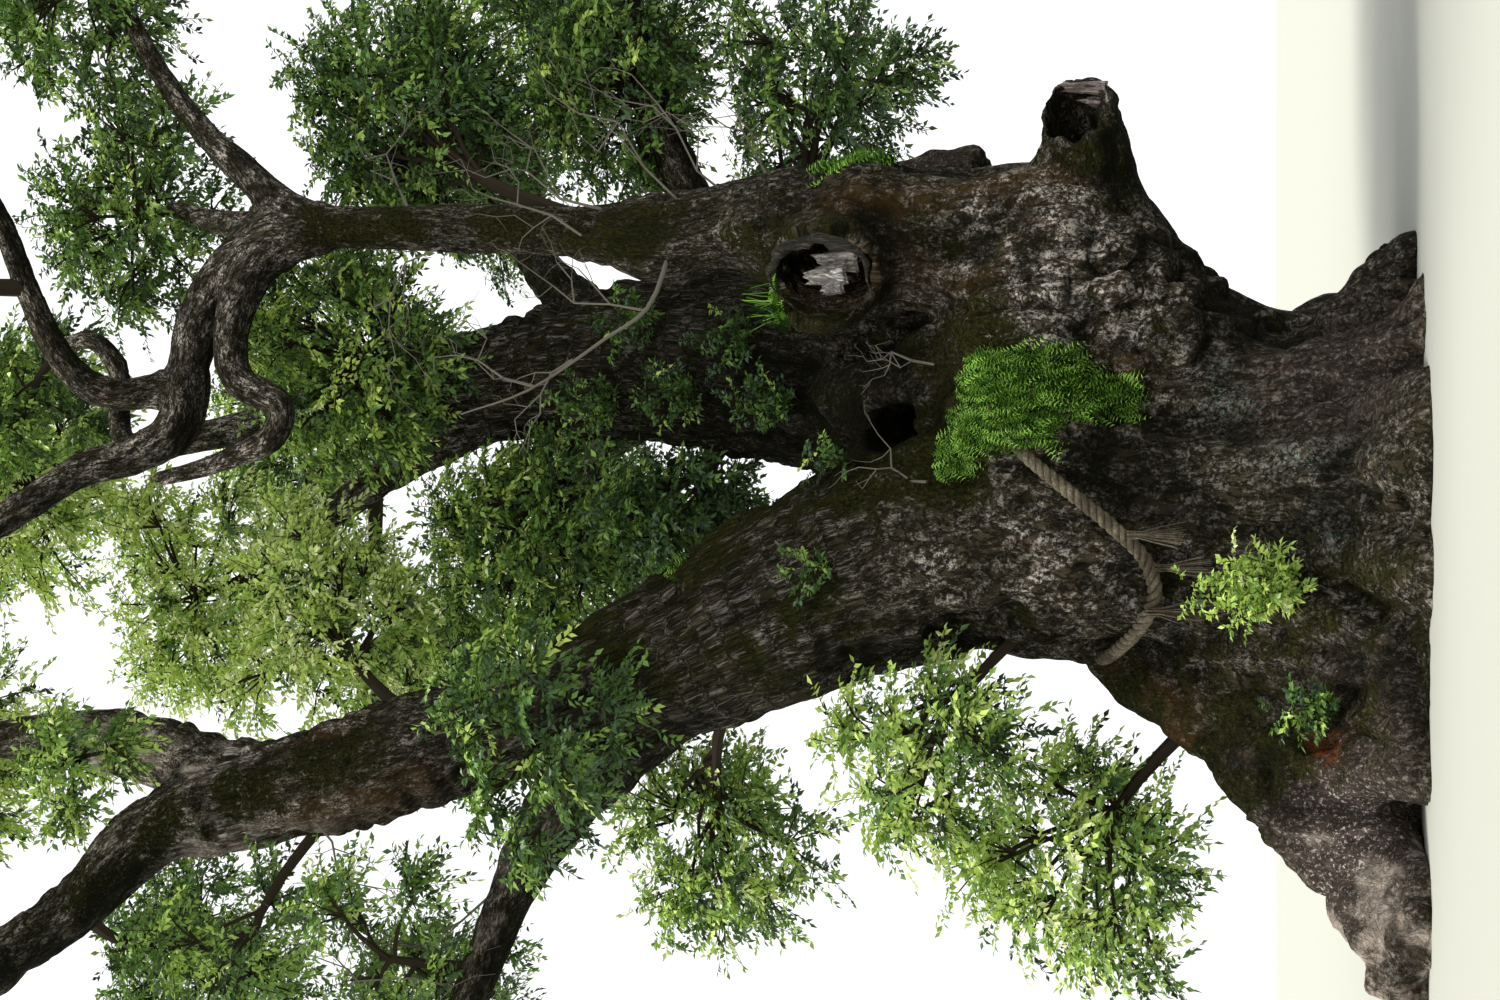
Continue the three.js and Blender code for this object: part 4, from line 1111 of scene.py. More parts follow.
def start_of_stem(carrier, start, size):
    if carrier == "trunk":
        return metres(start), size * STEM_SHARE
    place, girth_there = curve_points(boughs[carrier], [start])
    return place[0], min(size * STEM_SHARE, girth_there[0] * 0.8)


def grow_mass(seed, grown, carrier, start, centre, radii, kind):
    draw = seeded_random(seed)
    chance = np.random.default_rng(seed)
    centre, radii = metres(centre), metres(radii)
    size = radii.mean()
    root, thickness = start_of_stem(carrier, start, size)
    aside = 0.12 * np.linalg.norm(centre - root)
    bend = (root + centre) / 2 + [aside * (draw() - 0.5), aside * (draw() - 0.5), 0.6 * aside]
    stem = np.array([[*root, thickness], [*bend, thickness * 0.75], [*centre, STEM_TIP]])
    grown.tubes.append((curve_points(stem, np.linspace(0, 1, 9))[0][None], thickness, STEM_TIP, 7))

    count = int(CLOUDS_PER_AREA[kind] * size**2)
    ways = spiral_directions(count, draw)
    middles = centre + radii * ways * (0.4 + 0.34 * chance.random(count))[:, None]
    clouds = size * CLOUD_SHARE * (0.72 + 0.5 * chance.random(count))
    forks = curve_points(stem, 0.5 + 0.48 * chance.random(count))[0]
    feet = middles - ways * (clouds * 0.45)[:, None] - [0, 0, 0.1]
    grown.tubes.append((arched(forks, feet, 0.09, 5), *LIMB_TUBE))

    for middle, cloud, foot, way in zip(middles, clouds, feet, ways):
        rays = unit(spiral_directions(TWIGS_PER_CLOUD, draw, -0.45) + 0.45 * way)
        limit = TWIG_LIMIT * (0.78 + 0.36 * chance.random())
        tips = middle + rays * SQUASH * cloud * (0.5 + 0.3 * chance.random((TWIGS_PER_CLOUD, 1)))
        outness = np.linalg.norm((tips - centre) / radii, axis=1, keepdims=True)
        tips = centre + (tips - centre) * np.minimum(1, limit / outness)
        tips = np.clip(tips, CAD_LOW - TIP_MARGIN, CAD_HIGH + TIP_MARGIN)
        twigs = arched(np.repeat(foot[None], TWIGS_PER_CLOUD, axis=0), tips, 0.1, 3)
        grown.tubes.append((twigs, *TWIG_TUBE))
        for twig, ray in zip(twigs, rays):
            shares = np.sort(0.4 + 0.6 * chance.random(SPRAYS_PER_TWIG))
            shares[-1] = 1
            roots = places_along(twig, shares)
            scatter = chance.normal(size=(SPRAYS_PER_TWIG, 3)) * [0.9, 0.9, 0.55]
            grown.roots.append(roots)
            grown.ways.append(unit(ray * SQUASH + scatter - [0, 0, 0.22]))
            grown.kinds += [(kind, float(h)) for h in (roots[:, 2] - centre[2]) / radii[2]]


def region_of(x, y, z):
    if y >= 5000:
        return "back_left" if x < 0 else "back_right"
    if x < -3000:
        return "left_low" if z < 17000 else "left_high"
    return "middle" if x < 4000 else "right"


growths = {}
for number, (name, sizes) in enumerate(MASSES.items()):
    grown = growths.setdefault(region_of(*sizes[2]), Growth())
    grown.masses.append("foliage_" + name)
    grow_mass(101 + 7 * number, grown, *sizes)
print("sprays", {label: sum(map(len, grown.roots)) for label, grown in growths.items()})

# %% [markdown]
# Leaves of this tree are small, oval and pointed, and thousands of them seen from below make the green
# light under it. Each is a mesh of two faces, folded a little along its middle rib. They sit left and
# right of a thin drooping stalk, thirteen to a spray. Every spray draws one of eight plain greens by
# chance. The greens are lit and shaded copies of one leaf, so the chances are painted light and shade:
# upper sprays in a mass draw brighter greens, lower ones deeper greens, and each kind of mass leans to
# brighter or deeper greens by the light it stands in.

# %% The greens
# Lit and shaded copies of one leaf green, as painted light and shade: 'backlit' is a painted glow of sun
# through the leaves, 'dark' a painted deep shade.
GREENS = {
    "backlit": (0.76, 0.86, 0.38),
    "lime": (0.56, 0.72, 0.17),
    "yellow_green": (0.38, 0.55, 0.115),
    "bright": (0.24, 0.39, 0.080),
    "mid": (0.130, 0.250, 0.050),
    "deep": (0.066, 0.138, 0.032),
    "blue_green": (0.072, 0.135, 0.062),
    "dark": (0.024, 0.052, 0.012),
}
# How likely each green is, low in a mass and high in it. This is painted light and shade: higher sprays
# and the sunny and backlit kinds draw brighter greens, lower sprays and the deep, thick and dense kinds
# deeper ones
DEALS = {
    "backlit": ([24, 22, 22, 16, 6, 2, 0, 8], [48, 34, 14, 4, 0, 0, 0, 0]),
    "sunny": ([0, 8, 16, 24, 22, 14, 2, 22], [8, 44, 30, 14, 4, 0, 0, 0]),
    "fresh_and_lit": ([2, 6, 14, 22, 26, 18, 4, 10], [10, 26, 30, 20, 10, 4, 0, 0]),
    "middle": ([0, 0, 3, 10, 26, 32, 9, 20], [0, 7, 20, 30, 26, 12, 5, 0]),
    "full": ([0, 3, 8, 18, 28, 24, 6, 14], [4, 16, 28, 28, 16, 8, 0, 0]),
    "deep": ([0, 0, 1, 5, 18, 34, 18, 24], [0, 3, 11, 22, 30, 20, 12, 2]),
    "thick": ([0, 0, 1, 6, 22, 34, 14, 22], [0, 5, 15, 26, 30, 16, 8, 0]),
    "dense": ([0, 0, 0, 2, 10, 34, 22, 32], [0, 0, 3, 10, 28, 34, 20, 5]),
    "lacy": ([0, 1, 5, 14, 30, 28, 12, 10], [2, 8, 20, 28, 26, 12, 6, 0]),
}
leaf_materials = [plain_material("leaf_" + name, colour, 0.45, 0.32) for name, colour in GREENS.items()]
twig_material = plain_material("twig_bark", (0.032, 0.025, 0.017), 0.95, 0.05)


def deal_greens(kinds, seed):
    """One green for each spray, drawn by chance: painted light and shade, brighter high in a mass."""
    chance = np.random.default_rng(seed)
    height = np.clip(np.array([h for kind, h in kinds]) * 0.62 + 0.5, 0, 1)[:, None]
    low, high = (np.array([DEALS[kind][end] for kind, h in kinds], float) for end in (0, 1))
    weights = low * (1 - height) + high * height
    steps = np.cumsum(weights / weights.sum(axis=1, keepdims=True), axis=1)
    return (chance.random((len(kinds), 1)) > steps).sum(axis=1).clip(0, len(GREENS) - 1)


print("greens", list(GREENS))

# %% Leaves and twigs from arrays
STALK_BREADTH = 0.012
SPRAY_DROOP = 0.16
LEAF_ANGLE = 0.95
LEAF_BELLY = 0.45
LEAF_FOLD = 0.35


def tube_arrays(paths, thick, thin, sides):
    """Round or few-sided twigs: points and squares for many paths of the same length."""
    count, stations = paths.shape[:2]
    ways = unit(np.gradient(paths, axis=1))
    across = unit(np.cross(ways, [0.31, 0.22, 0.92]))
    depth = np.cross(ways, across)
    radius = np.linspace(thick, thin, stations)[None, :, None, None]
    angles = (np.arange(sides) * 2 * np.pi / sides)[:, None]
    ring = across[:, :, None] * np.cos(angles) + depth[:, :, None] * np.sin(angles)
    points = (paths[:, :, None] + ring * radius).reshape(-1, 3)
    first = np.arange(count)[:, None, None] * stations * sides + np.arange(stations - 1)[:, None] * sides
    side = np.arange(sides)
    near, far = first + side, first + (side + 1) % sides
    return points, np.stack([near, far, far + sides, near + sides], -1).reshape(-1, 4)


def blade_arrays(starts, ends, breadth):
    """Thin flat stalks, one square each."""
    side = unit(np.cross(ends - starts, [0.3, 0.2, 0.93])) * breadth / 2
    points = np.stack([starts - side, starts + side, ends + side, ends - side], 1).reshape(-1, 3)
    return points, np.arange(len(points)).reshape(-1, 4)


def joined(parts):
    firsts = np.cumsum([0] + [len(points) for points, faces in parts[:-1]])
    faces = [some_faces + first for (points, some_faces), first in zip(parts, firsts)]
    return np.concatenate([points for points, some_faces in parts]), np.concatenate(faces)


def spray_arrays(roots, ways, seed, spray_length, leaf_length):
    """The tips of many sprays and their leaves, which come back as points (sprays, leaves, 4, 3)."""
    chance = np.random.default_rng(seed)
    count = len(roots)
    length = spray_length * (0.7 + 0.5 * chance.random((count, 1)))
    droop = length * [0, 0, -SPRAY_DROOP]
    sideways = unit(np.cross(ways, [0.05, 0.08, 1.0]) + 0.25 * chance.normal(size=(count, 3)))
    leaves = []
    for j in range(LEAVES_PER_SPRAY):
        share = (j + 0.7) / LEAVES_PER_SPRAY
        hand = 1 if j % 2 else -1
        base = roots + ways * length * share + droop * share**2
        open_angle = LEAF_ANGLE if j < LEAVES_PER_SPRAY - 1 else 0.1
        heading = ways * math.cos(open_angle) + sideways * hand * math.sin(open_angle)
        heading = unit(heading + 0.35 * chance.normal(size=(count, 3)) - [0, 0, 0.25])
        facing = ways * 0.5 + [0, 0, 0.7] + 0.55 * chance.normal(size=(count, 3))
        breadthwise = unit(np.cross(facing, heading))
        size = leaf_length * (0.75 + 0.5 * chance.random((count, 1)))
        half = size * LEAF_BREADTH / 2
        belly = base + heading * size * LEAF_BELLY + np.cross(heading, breadthwise) * half * LEAF_FOLD
        tip = base + heading * size - [0, 0, 0.012]
        leaves.append(np.stack([base, belly + breadthwise * half, tip, belly - breadthwise * half], 1))
    return roots + ways * length + droop, np.stack(leaves, 1)


def leafy_pieces(leaf_name, twig_name, grown, seed, spray_length=SPRAY_LENGTH, leaf_length=LEAF_LENGTH):
    """One joined mesh of leaves, which replaces the masses, and one of the twigs that carry them."""
    roots, ways = np.concatenate(grown.roots), np.concatenate(grown.ways)
    tips, leaves = spray_arrays(roots, ways, seed, spray_length, leaf_length)
    greens = np.repeat(deal_greens(grown.kinds, seed + 1), LEAVES_PER_SPRAY)
    first = np.arange(len(greens))[:, None] * 4
    faces = np.concatenate([first + [0, 1, 2], first + [0, 2, 3]], 1).reshape(-1, 3)
    shades = np.repeat(greens, 2)
    foliage = mesh_object(leaf_name, "foliage", leaves.reshape(-1, 3), faces, leaf_materials, shades)
    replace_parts(foliage, *grown.masses)
    stalks = blade_arrays(roots, tips, STALK_BREADTH)
    points, quads = joined([tube_arrays(*tube) for tube in grown.tubes] + [stalks])
    mesh_object(twig_name, "bark", points, quads, [twig_material])


for number, (label, grown) in enumerate(growths.items()):
    leafy_pieces("leaves_" + label, "twigs_" + label, grown, 900 + 10 * number)

# %% [markdown]
# A rope of rice straw hangs round the left half of the trunk, with straw tassels on it. It is three
# strands twisted about each other. Its way is found on the bark by looking at the trunk from outside,
# so that it lies on the relief and not in it.

# %% The straw rope
BARK_TREE = BVHTree.FromPolygons([tuple(p) for p in bark_points], [tuple(q) for q in bark_quads.tolist()])
ROPE_WAY = [
    [1000, -2400, 5450], [700, -2650, 5080], [250, -2900, 4500], [-330, -3000, 3850],
    [-880, -3000, 3380], [-1480, -2800, 3250], [-1950, -2400, 3460], [-2350, -1900, 3800],
    [-2600, -1100, 4100], [-2500, -300, 4400], [-2200, 700, 4900], [-1500, 1400, 5500],
]
TASSELS = [[-1760, -2700, 3420], [-1080, -3000, 3300], [-450, -3050, 3650]]
ROPE_RADIUS = 0.095
ROPE_STATIONS = 340
STRANDS = 3
STRAND_OFFSET = 0.053
STRAND_TUBE = 0.047, 0.040, 8
STRAW_TUBE = 0.013, 0.007, 3
HALF_TURNS_PER_METRE = 5.2
TASSEL_LENGTH = 0.7
STRAWS = 46


def bark_hit(origin, direction, reach=30):
    """The place where a line meets the bark, or None."""
    place = BARK_TREE.ray_cast(Vector(origin), Vector(direction).normalized(), reach)[0]
    return np.array(place) if place else None


def on_bark(x, y, z):
    place = metres([x, y, z])
    out = unit(np.array([x + 500.0, y + 600.0, 0]))
    hit = bark_hit(place + out * 1.8, -out)
    return (place if hit is None else hit) + out * ROPE_RADIUS * 0.95


def rope_strands():
    way = np.array([[*on_bark(*point), ROPE_RADIUS] for point in ROPE_WAY])
    way[2:-1, :3] = 0.5 * way[2:-1, :3] + 0.25 * (way[1:-2, :3] + way[3:, :3]) - [0, 0.04, 0]
    middle = curve_points(way, np.linspace(0, 1, ROPE_STATIONS))[0]
    along = np.concatenate([[0], np.cumsum(np.linalg.norm(np.diff(middle, axis=0), axis=1))])
    ahead = unit(np.gradient(middle, axis=0))
    across = unit(np.cross(ahead, [0.2, 0.5, 0.84]))
    depth = np.cross(ahead, across)
    swell = 1.12 - 0.4 * np.clip((middle[:, 2] - 4.2) / 2, 0, 1)
    paths = []
    for strand in range(STRANDS):
        angle = along * math.pi * HALF_TURNS_PER_METRE + strand * 2 * math.pi / STRANDS
        ring = across * np.cos(angle)[:, None] + depth * np.sin(angle)[:, None]
        paths.append(middle + ring * (STRAND_OFFSET * swell)[:, None])
    return np.array(paths), along[-1]


def tassel_straws(place, seed):
    """A bundle of straws, tied at the top, that spreads towards its cut ends."""
    chance = np.random.default_rng(seed)
    top = on_bark(*place) + [0, -0.09, -0.02]
    slopes = [bark_hit([top[0] + aside, -9, top[2] - 0.75], [0, 1, 0])[1] for aside in (-0.15, 0, 0.15)]
    forward = min(0, min(slopes) - 0.13 - top[1])
    a, b = (chance.normal(size=(STRAWS, 2)) * 0.42).T
    length = TASSEL_LENGTH * (0.78 + 0.25 * chance.random(STRAWS))
    ends = np.stack([a * 0.2, b * 0.13 - 0.05, -length], 1)
    neck = np.stack([a * 0.05, b * 0.05, -0.2 * length], 1)
    head = np.stack([a * 0.06, b * 0.06, np.full(STRAWS, 0.05)], 1)
    paths = top + np.stack([head, neck, (neck + ends) * 0.5 + [0, 0.004, 0.03], ends], 1)
    paths[:, :, 1] += forward * np.array([0.15, 0.3, 0.7, 1.0])
    return paths


def straw_material():
    material = plain_material("straw", (0.3, 0.23, 0.16), 0.9, 0.2)
    s = Shading(material.node_tree)
    place = s.place()
    fibres = s.fibres(place, 26.0, 0.8)
    worn = s.spread(s.noise(place, 3.0, 5.0, 0.6), 0.35, 0.65)
    colour = s.mix(worn, (0.100, 0.086, 0.058, 1), (0.26, 0.225, 0.160, 1))
    colour = s.mix(s.times(fibres["Cracks"], 0.7), colour, (0.06, 0.04, 0.026, 1))
    s.dress(colour, fibres["Height"], 0.8, 0.012)
    return material


strands, rope_length = rope_strands()
parts = [tube_arrays(strands, *STRAND_TUBE)]
parts += [tube_arrays(tassel_straws(place, 40 + i), *STRAW_TUBE) for i, place in enumerate(TASSELS)]
rope = mesh_object("twisted_straw_rope", "straw", *joined(parts), [straw_material()], smooth=True)
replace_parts(rope, "straw_rope")
print("rope", round(float(rope_length), 1), "m long, straws", STRAWS * len(TASSELS))

# %% [markdown]
# Ferns root in the wet crotch and hang down over the bark as one green curtain. Each frond is a bent rib
# with small leaflets on both sides that get shorter towards the tip. They are rooted on the bark itself,
# at places spread by chance inside the patch. A few blades of grass stand over the knot.

# %% Ferns
FERN_GREENS = {
    "fern_light": (0.31, 0.56, 0.090),
    "fern_mid": (0.095, 0.215, 0.020),
    "fern_dark": (0.009, 0.038, 0.003),
}
# [x, lowest z, highest z, half breadth] of the patches, seen from the front
FERN_COLUMNS = [
    [0.6, 5.5, 6.3, 0.26], [0.98, 4.35, 6.15, 0.27], [1.38, 3.3, 6.0, 0.3],
    [1.76, 4.0, 5.85, 0.24], [-1.0, 10.0, 11.6, 0.12],
]
FRONDS_PER_AREA = 560
STEM_FRONDS = 150
KNOT_FRONDS = 90
GRASS_BLADES = 48
GRASS_BREADTH = 0.007
KNOT_TOP = 8.25
LEAFLETS = 6


def frond_arrays(root, heading, length, chance):
    """One frond: points and two-faced leaflets."""
    s = np.linspace(0.06, 1, LEAFLETS)
    side = unit(np.cross(heading, [0.1, -1.0, 0.2]) + 0.2 * chance.normal(size=3))
    rib = root + np.outer(s, heading) * length + np.outer(s**2, [0, 0.1, -0.55]) * length
    reach = length * 0.26 * np.sin(np.pi * np.clip(s * 0.86 + 0.12, 0, 1)) ** 0.8
    wide = heading * (length * 0.042)
    points = []
    for hand in (1, -1):
        tip = rib + side * hand * reach[:, None] + heading * length * 0.07
        tip = tip + 0.008 * chance.normal(size=(LEAFLETS, 3))
        belly = (rib + tip) / 2 + wide * 1.1 + [0, -0.012, 0]
        points.append(np.stack([rib - wide, belly, tip, rib + wide], 1))
    first = np.arange(2 * LEAFLETS)[:, None, None] * 4
    return np.concatenate(points).reshape(-1, 3), (first + [[0, 2, 1], [0, 1, 3]]).reshape(-1, 3)


def grass_blade(root, length, chance):
    """A narrow blade that bends over at the top: three cross lines and a tip."""
    lean = np.array([0.5 * chance.normal(), 0.3 * chance.normal() - 0.1, 0])
    s = np.array([0, 0.4, 0.75, 1])[:, None]
    rib = root + s * length * [0, 0, 0.95] + s**2 * length * 0.6 * lean
    wide = unit(np.array([chance.normal(), 0.4 * chance.normal(), 0])) * GRASS_BREADTH
    low, high = rib[:2], rib[2:3]
    points = np.concatenate([low - wide, low + wide, high - 0.6 * wide, high + 0.6 * wide, rib[3:]])
    return points, np.array([[0, 2, 1], [2, 3, 1], [1, 3, 5], [1, 5, 4]])


def fern_roots(chance):
    """Root, direction and length of each frond: in the curtain, on the right stem and over the knot."""
    for x, low, high, half in FERN_COLUMNS:
        for i in range(int(FRONDS_PER_AREA * (high - low) * half * 2)):
            aside = half * (2 * chance.random() - 1)
            hit = bark_hit([x + aside, -7.0, low + 0.35 + (high - low - 0.3) * chance.random()], [0, 1, 0])
            if hit is not None:
                way = unit(np.array([0.6 * chance.normal(), -0.75, -0.35 - 0.8 * chance.random()]))
                yield hit - [0, 0.02 + 0.12 * chance.random(), 0], way, 0.15 + 0.1 * chance.random()
    for i in range(STEM_FRONDS):
        hit = bark_hit([7.0, -1.55 + 0.6 * chance.random(), 7.2 + 1.1 * chance.random()], [-1, 0, 0])
        if hit is not None:
            yield hit, unit(np.array([0.5, -0.5, -0.6 - 0.5 * chance.random()])), 0.2 + 0.12 * chance.random()
    for i in range(KNOT_FRONDS):
        hit = bark_hit([2.55 + 0.45 * chance.random(), -2.3 + 0.7 * chance.random(), 9.5], [0, 0, -1])
        if hit is not None and hit[2] > KNOT_TOP:
            yield hit, unit(np.array([chance.normal() * 0.5 - 0.3, -0.6, 0.5])), 0.2 + 0.12 * chance.random()


def grow_ferns():
    chance = np.random.default_rng(77)
    parts, shades = [], []
    for root, heading, length in fern_roots(chance):
        parts.append(frond_arrays(root, heading, length, chance))
        shades += [chance.choice(3, p=[0.33, 0.35, 0.32])] * (LEAFLETS * 4)
    for i in range(GRASS_BLADES):
        hit = bark_hit([2.75 + 0.22 * chance.normal(), -1.85 + 0.15 * chance.normal(), 9.5], [0, 0, -1])
        if hit is not None and hit[2] > KNOT_TOP:
            parts.append(grass_blade(hit, 0.45 + 0.4 * chance.random(), chance))
            shades += [chance.choice(3, p=[0.1, 0.5, 0.4])] * 4
    materials = [plain_material(name, colour, 0.6, 0.12) for name, colour in FERN_GREENS.items()]
    return mesh_object("hanging_ferns", "fern", *joined(parts), materials, shades)


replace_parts(grow_ferns(), "fern_patch")

# %% [markdown]
# Young shoots break from the trunk in front: a round bush of thin stems with the brightest leaves of the
# whole tree, young leaves with painted sunlight in their greens. A few more sprays sit lower left, in the
# crotch and on the shaded leader behind, with painted shade in their greens.

# %% Shoots on the trunk
# [x, z of the root, breadth, height, number of stems, kind]
SHOOTS = [
    [-1.12, 1.3, 0.5, 1.75, 17, "sunny"],
    [-2.68, 0.95, 0.26, 0.95, 8, "deep"],
    [-0.95, 7.75, 0.45, 0.7, 5, "deep"],
    [0.55, 7.6, 0.3, 0.8, 4, "deep"],
    [1.5, 8.9, 0.5, 1.3, 7, "dense"],
    [2.5, 9.6, 0.5, 1.2, 6, "dense"],
    [1.7, 10.6, 0.6, 1.3, 7, "dense"],
    [2.9, 11.4, 0.5, 1.2, 6, "dense"],
    [1.6, 12.2, 0.6, 1.4, 8, "dense"],
]
SHOOT_SPRAY = 0.32
SHOOT_LEAF = 0.105
SHOOT_TUBE = 0.016, 0.006, 3


def grow_shoots():
    chance = np.random.default_rng(5)
    grown = Growth()
    grown.masses.append("shoots_front")
    for x, z, breadth, height, count, kind in SHOOTS:
        foot = bark_hit([x, -9.0, z], [0, 1, 0]) + [0, 0.06, 0]
        angle = np.arange(count) * GOLDEN_ANGLE
        reach = breadth * np.sqrt((np.arange(count) + 0.5) / count)
        rise = height * (0.72 + 0.28 * chance.random(count)) * (1 - 0.55 * (reach / breadth) ** 2)
        forward = -0.5 * breadth - 0.22 + 0.6 * reach * np.sin(angle)
        tips = foot + np.stack([reach * np.cos(angle), forward, rise], 1)
        stems = arched(np.repeat(foot[None], count, 0), tips, -0.1, 5)
        grown.tubes.append((stems, *SHOOT_TUBE))
        sprays = max(4, int(7 * height))
        for stem in stems:
            grown.roots.append(places_along(stem, np.linspace(0.3, 1, sprays)))
            grown.ways.append(unit(chance.normal(size=(sprays, 3)) * [0.8, 0.6, 0.3] + [0, -0.35, 0.5]))
            # Shoots of the deep and dense kinds take the low end of their deal: painted shade.
            grown.kinds += [(kind, 0.2 if kind in ("deep", "dense") else 1.0)] * sprays
    return grown


leafy_pieces("shoot_leaves", "shoot_twigs", grow_shoots(), 990, SHOOT_SPRAY, SHOOT_LEAF)

# %% [markdown]
# A broken piece of the branch that once stood in the knot is still inside it: pale dry wood with a torn
# top. Duller torn wood stands at the edge of the broken stub. Round the knot's mouth runs a second lip:
# dead grey wood, wrinkled like a rope, thick on the right and thin on the left. It is one tube along an
# oval in the plane of the mouth, and noise wrinkles it.

# %% Dead wood in the knot and the stub
# [foot, height, half breadth, lean, kind of wood] of each torn plank
PLANKS = [
    [(3.17, -2.3, 7.56), 0.72, 0.17, (-0.08, 0.3, 0), 0],
    [(3.36, -2.12, 7.45), 0.62, 0.18, (0.08, 0.25, 0), 0],
    [(3.0, -2.2, 7.62), 0.34, 0.12, (-0.2, 0.2, 0), 0],
    [(5.62, -1.86, 4.02), 0.74, 0.1, (0.08, 0.05, 0), 1],
    [(5.47, -1.66, 3.98), 0.42, 0.1, (0.1, 0.1, 0), 1],
]
STAVES = 9
LEVELS = (0.0, 0.4, 0.8, 1.0)
LIP_CENTRE = np.array([3.05, -2.46, 7.87])
LIP_BREADTH = 0.57
LIP_HEIGHT = 0.76
LIP_THICK = 0.085
LIP_THIN = 0.015
LIP_STATIONS = 90
LIP_SIDES = 12


def dead_wood(name, dull, bright):
    material = plain_material(name, bright, 0.85, 0.2)
    s = Shading(material.node_tree)
    fibres = s.fibres(s.place(), 13.0, 0.18)
    colour = s.mix(s.times(fibres["Cracks"], 0.6), s.mix(fibres["Flecks"], dull, bright), CRACK_AND_SHADE)
    s.dress(colour, fibres["Height"], 0.9, 0.03)
    return material


def torn_plank(foot, height, breadth, lean, chance):
    """A splintered slab: a bent sheet of staves of different heights, with a back."""
    s = np.linspace(-1, 1, STAVES)
    tall = height * (1 - 0.4 * s**2) * (0.72 + 0.4 * chance.random(STAVES))
    front = []
    for level in LEVELS:
        out = 0.16 * s**2 + 0.03 * chance.normal(size=STAVES)
        bend = np.stack([s * breadth * (1 - 0.22 * level), out, tall * level], 1)
        front.append(foot + bend + np.array(lean) * (level * tall)[:, None])
    front = np.concatenate(front)
    number = np.arange(len(front)).reshape(len(LEVELS), STAVES)
    corners = number[:-1, :-1], number[:-1, 1:], number[1:, 1:], number[1:, :-1]
    quads = np.stack([corner.ravel() for corner in corners], 1)
    edge = [*number[:, 0], *number[-1, 1:], *number[-2::-1, -1]]
    behind = len(front)
    rim = [[a, b, b + behind, a + behind] for a, b in zip(edge[:-1], edge[1:])]
    return np.vstack([front, front + [0.02, 0.09, -0.03]]), np.vstack([quads[:, ::-1], quads + behind, rim])


def wrinkled_lip():
    sideways = unit(np.cross([0, 0, 1.0], KNOT_AXIS))
    upwards = np.cross(KNOT_AXIS, sideways)
    angle = np.linspace(0, 2 * np.pi, LIP_STATIONS, endpoint=False)[:, None]
    out = sideways * np.cos(angle) * LIP_BREADTH + upwards * np.sin(angle) * LIP_HEIGHT
    middle = LIP_CENTRE + out + 0.09 * layered_noise(unit(out) * 2.4, 2, 8)[:, None] * unit(out)
    thickness = LIP_THIN + (LIP_THICK - LIP_THIN) * np.clip(np.cos(angle - 0.15), 0, 1) ** 0.8
    round_tube = (np.arange(LIP_SIDES) * 2 * np.pi / LIP_SIDES)[:, None]
    ring = unit(out)[:, None] * np.cos(round_tube) + KNOT_AXIS * np.sin(round_tube)
    points = middle[:, None] + ring * thickness[:, None]
    wrinkles = layered_noise((points * [9, 9, 5]).reshape(-1, 3), 2, 19).reshape(LIP_STATIONS, LIP_SIDES, 1)
    points = points + ring * 0.05 * wrinkles * (thickness[:, None] / LIP_THICK)
    number = np.arange(LIP_STATIONS * LIP_SIDES).reshape(LIP_STATIONS, LIP_SIDES)
    after = np.roll(number, -1, axis=0)
    quads = np.stack([number, np.roll(number, -1, axis=1), np.roll(after, -1, axis=1), after], -1)
    return points.reshape(-1, 3), quads.reshape(-1, 4)


PALE_WOOD = dead_wood("dead_wood", (0.42, 0.37, 0.33, 1), (0.88, 0.87, 0.86, 1))
STUB_WOOD = dead_wood("pinkish_dead_wood", (0.23, 0.175, 0.155, 1), (0.56, 0.48, 0.45, 1))
GREY_WOOD = dead_wood("grey_dead_wood", (0.022, 0.019, 0.014, 1), (0.080, 0.073, 0.060, 1))
chance = np.random.default_rng(12)
planks = [torn_plank(*sizes, chance) for *sizes, kind in PLANKS]
shades = np.repeat([kind for *sizes, kind in PLANKS], [len(faces) for points, faces in planks])
mesh_object("splinters", "bark", *joined(planks), [PALE_WOOD, STUB_WOOD], shades)
mesh_object("lip_of_the_knot", "bark", *wrinkled_lip(), [GREY_WOOD], smooth=True)

# %% [markdown]
# Bare grey twigs stand on the right leader and in the crotch, where the shade killed their leaves, and a
# dead branch leaves the right leader to the left. Each twig forks again and again, with less length and
# less breadth each time.

# %% Bare twigs
DEAD_BRANCH = [
    [4000, -800, 10450, 42], [2850, -1200, 10750, 32], [2400, -1250, 11400, 26],
    [1650, -1300, 12600, 19], [1300, -1300, 13700, 12],
]
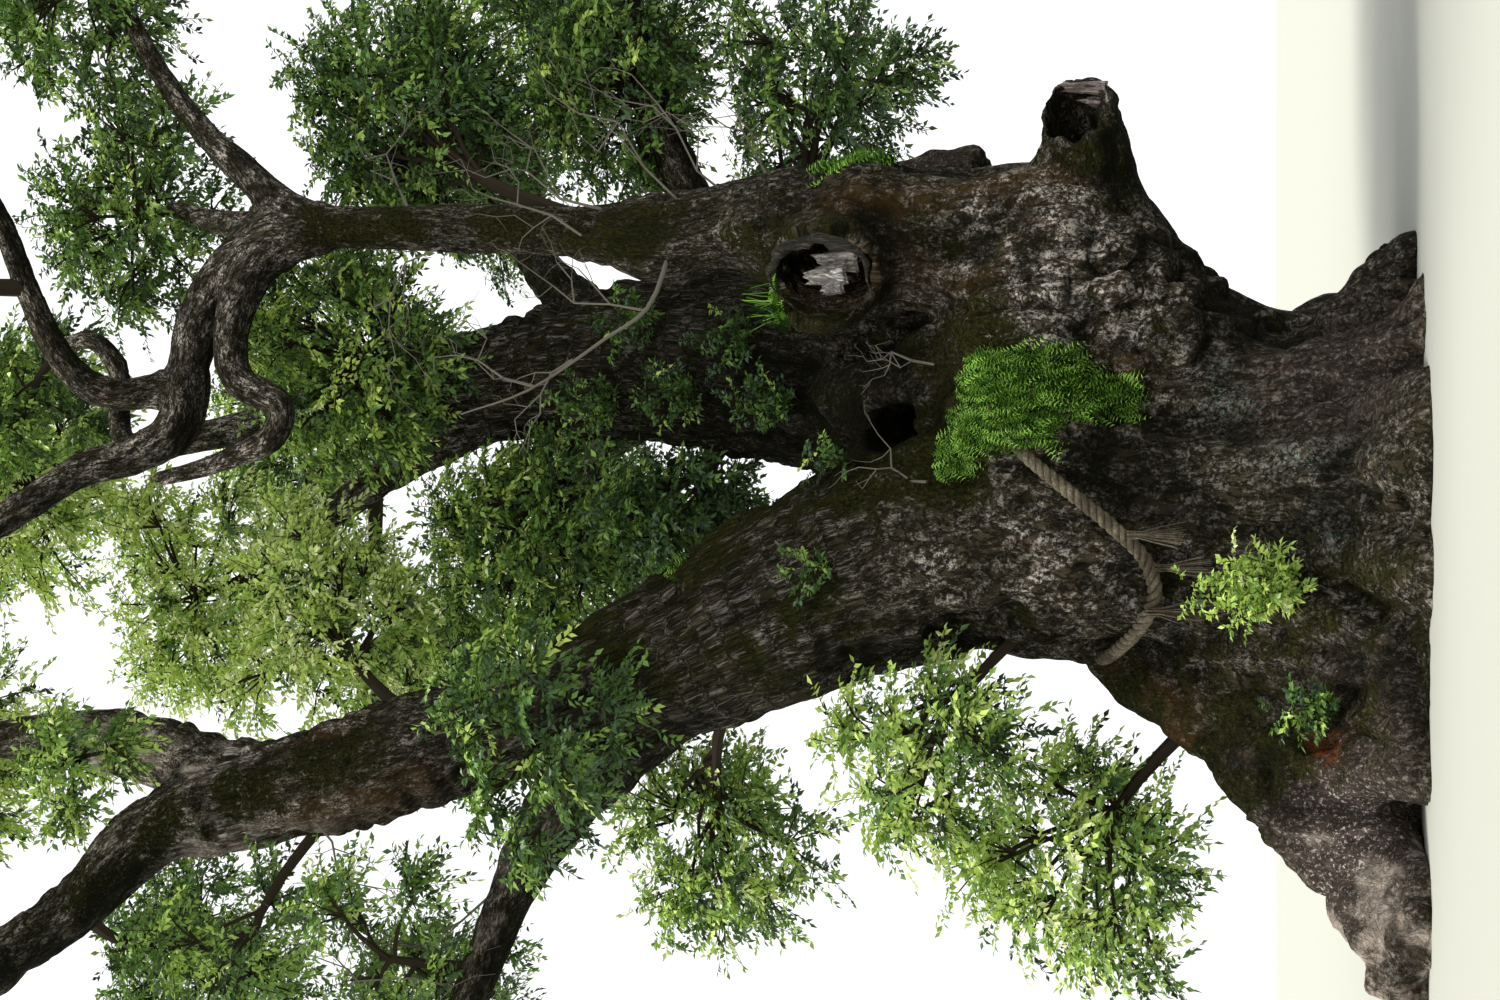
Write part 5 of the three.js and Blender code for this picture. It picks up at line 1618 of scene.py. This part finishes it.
# [start of a bare twig, the direction it grows, length]
BARE_TWIGS = [
    [(2.8, -1.2, 10.75), (0.35, -0.1, 0.9), 2.0], [(1.7, -1.3, 12.5), (0.3, -0.1, 0.9), 1.6],
    [(2.1, -1.28, 11.9), (-0.8, -0.1, 0.5), 1.3], [(4.4, -0.9, 10.3), (0.75, -0.2, 0.6), 2.6],
    [(4.5, -0.8, 9.6), (0.8, -0.1, 0.45), 2.4], [(4.4, -0.8, 11.6), (0.6, -0.3, 0.75), 2.2],
    [(4.0, -0.9, 11.9), (0.35, -0.4, 0.85), 1.8], [(4.5, -0.7, 8.9), (0.85, -0.2, 0.3), 2.0],
    [(0.25, -2.2, 6.4), (0.05, -0.2, 1.0), 1.2], [(1.9, -1.6, 6.4), (-0.1, -0.2, 1.0), 1.1],
    [(3.9, -0.9, 14.2), (-0.7, -0.3, 0.6), 2.0], [(4.6, -0.6, 14.9), (0.8, -0.2, 0.5), 1.9],
    [(-5.0, -0.6, 16.6), (-0.7, -0.3, -0.35), 2.3], [(-5.9, -0.9, 13.2), (-0.25, -0.1, 0.95), 3.1],
    [(-7.4, -1.3, 13.7), (-0.15, -0.2, 0.95), 2.6],
]
TWIG_RADIUS = 0.024
TWIG_TAPER = 0.6
FORKINGS = 4


def bare_twigs():
    chance = np.random.default_rng(31)
    tubes = []
    level = [(np.array(start), unit(np.array(way)), length) for start, way, length in BARE_TWIGS]
    for depth in range(FORKINGS):
        paths, following = [], []
        for start, way, length in level:
            kink = unit(way + 0.35 * chance.normal(size=3))
            middle = start + kink * length * 0.3
            end = middle + unit(way + 0.3 * chance.normal(size=3)) * length * 0.3
            paths.append([start, middle, end])
            for child in range(2 if depth else 3):
                turned = unit(way + 0.6 * chance.normal(size=3) + [0, 0, 0.1])
                following.append((end if child else middle, turned, length * (0.62 + 0.2 * chance.random())))
        radii = TWIG_RADIUS * TWIG_TAPER**depth, TWIG_RADIUS * TWIG_TAPER ** (depth + 1)
        tubes.append(tube_arrays(np.array(paths), *radii, 4 if depth < 2 else 3))
        level = following
    return tubes


dead_path, dead_radii = curve_points(metres(DEAD_BRANCH), np.linspace(0, 1, 17))
dead_branch = tube_arrays(dead_path[None], dead_radii[0], dead_radii[-1], 7)
grey_twig = plain_material("grey_twig", (0.15, 0.135, 0.11), 0.9, 0.1)
mesh_object("bare_twigs", "bark", *joined([dead_branch] + bare_twigs()), [grey_twig])

# %% [markdown]
# The boxes of the solids and of the visual model are printed at the end. The visual model may not be
# bigger than the solids by more than about three parts in a hundred.

# %% Write the sizes and finish
SEEN_LOW, SEEN_HIGH = (np.array(corner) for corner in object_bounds())
print("solids", np.round(CAD_LOW, 2), np.round(CAD_HIGH, 2))
print("visual", np.round(SEEN_LOW, 2), np.round(SEEN_HIGH, 2))
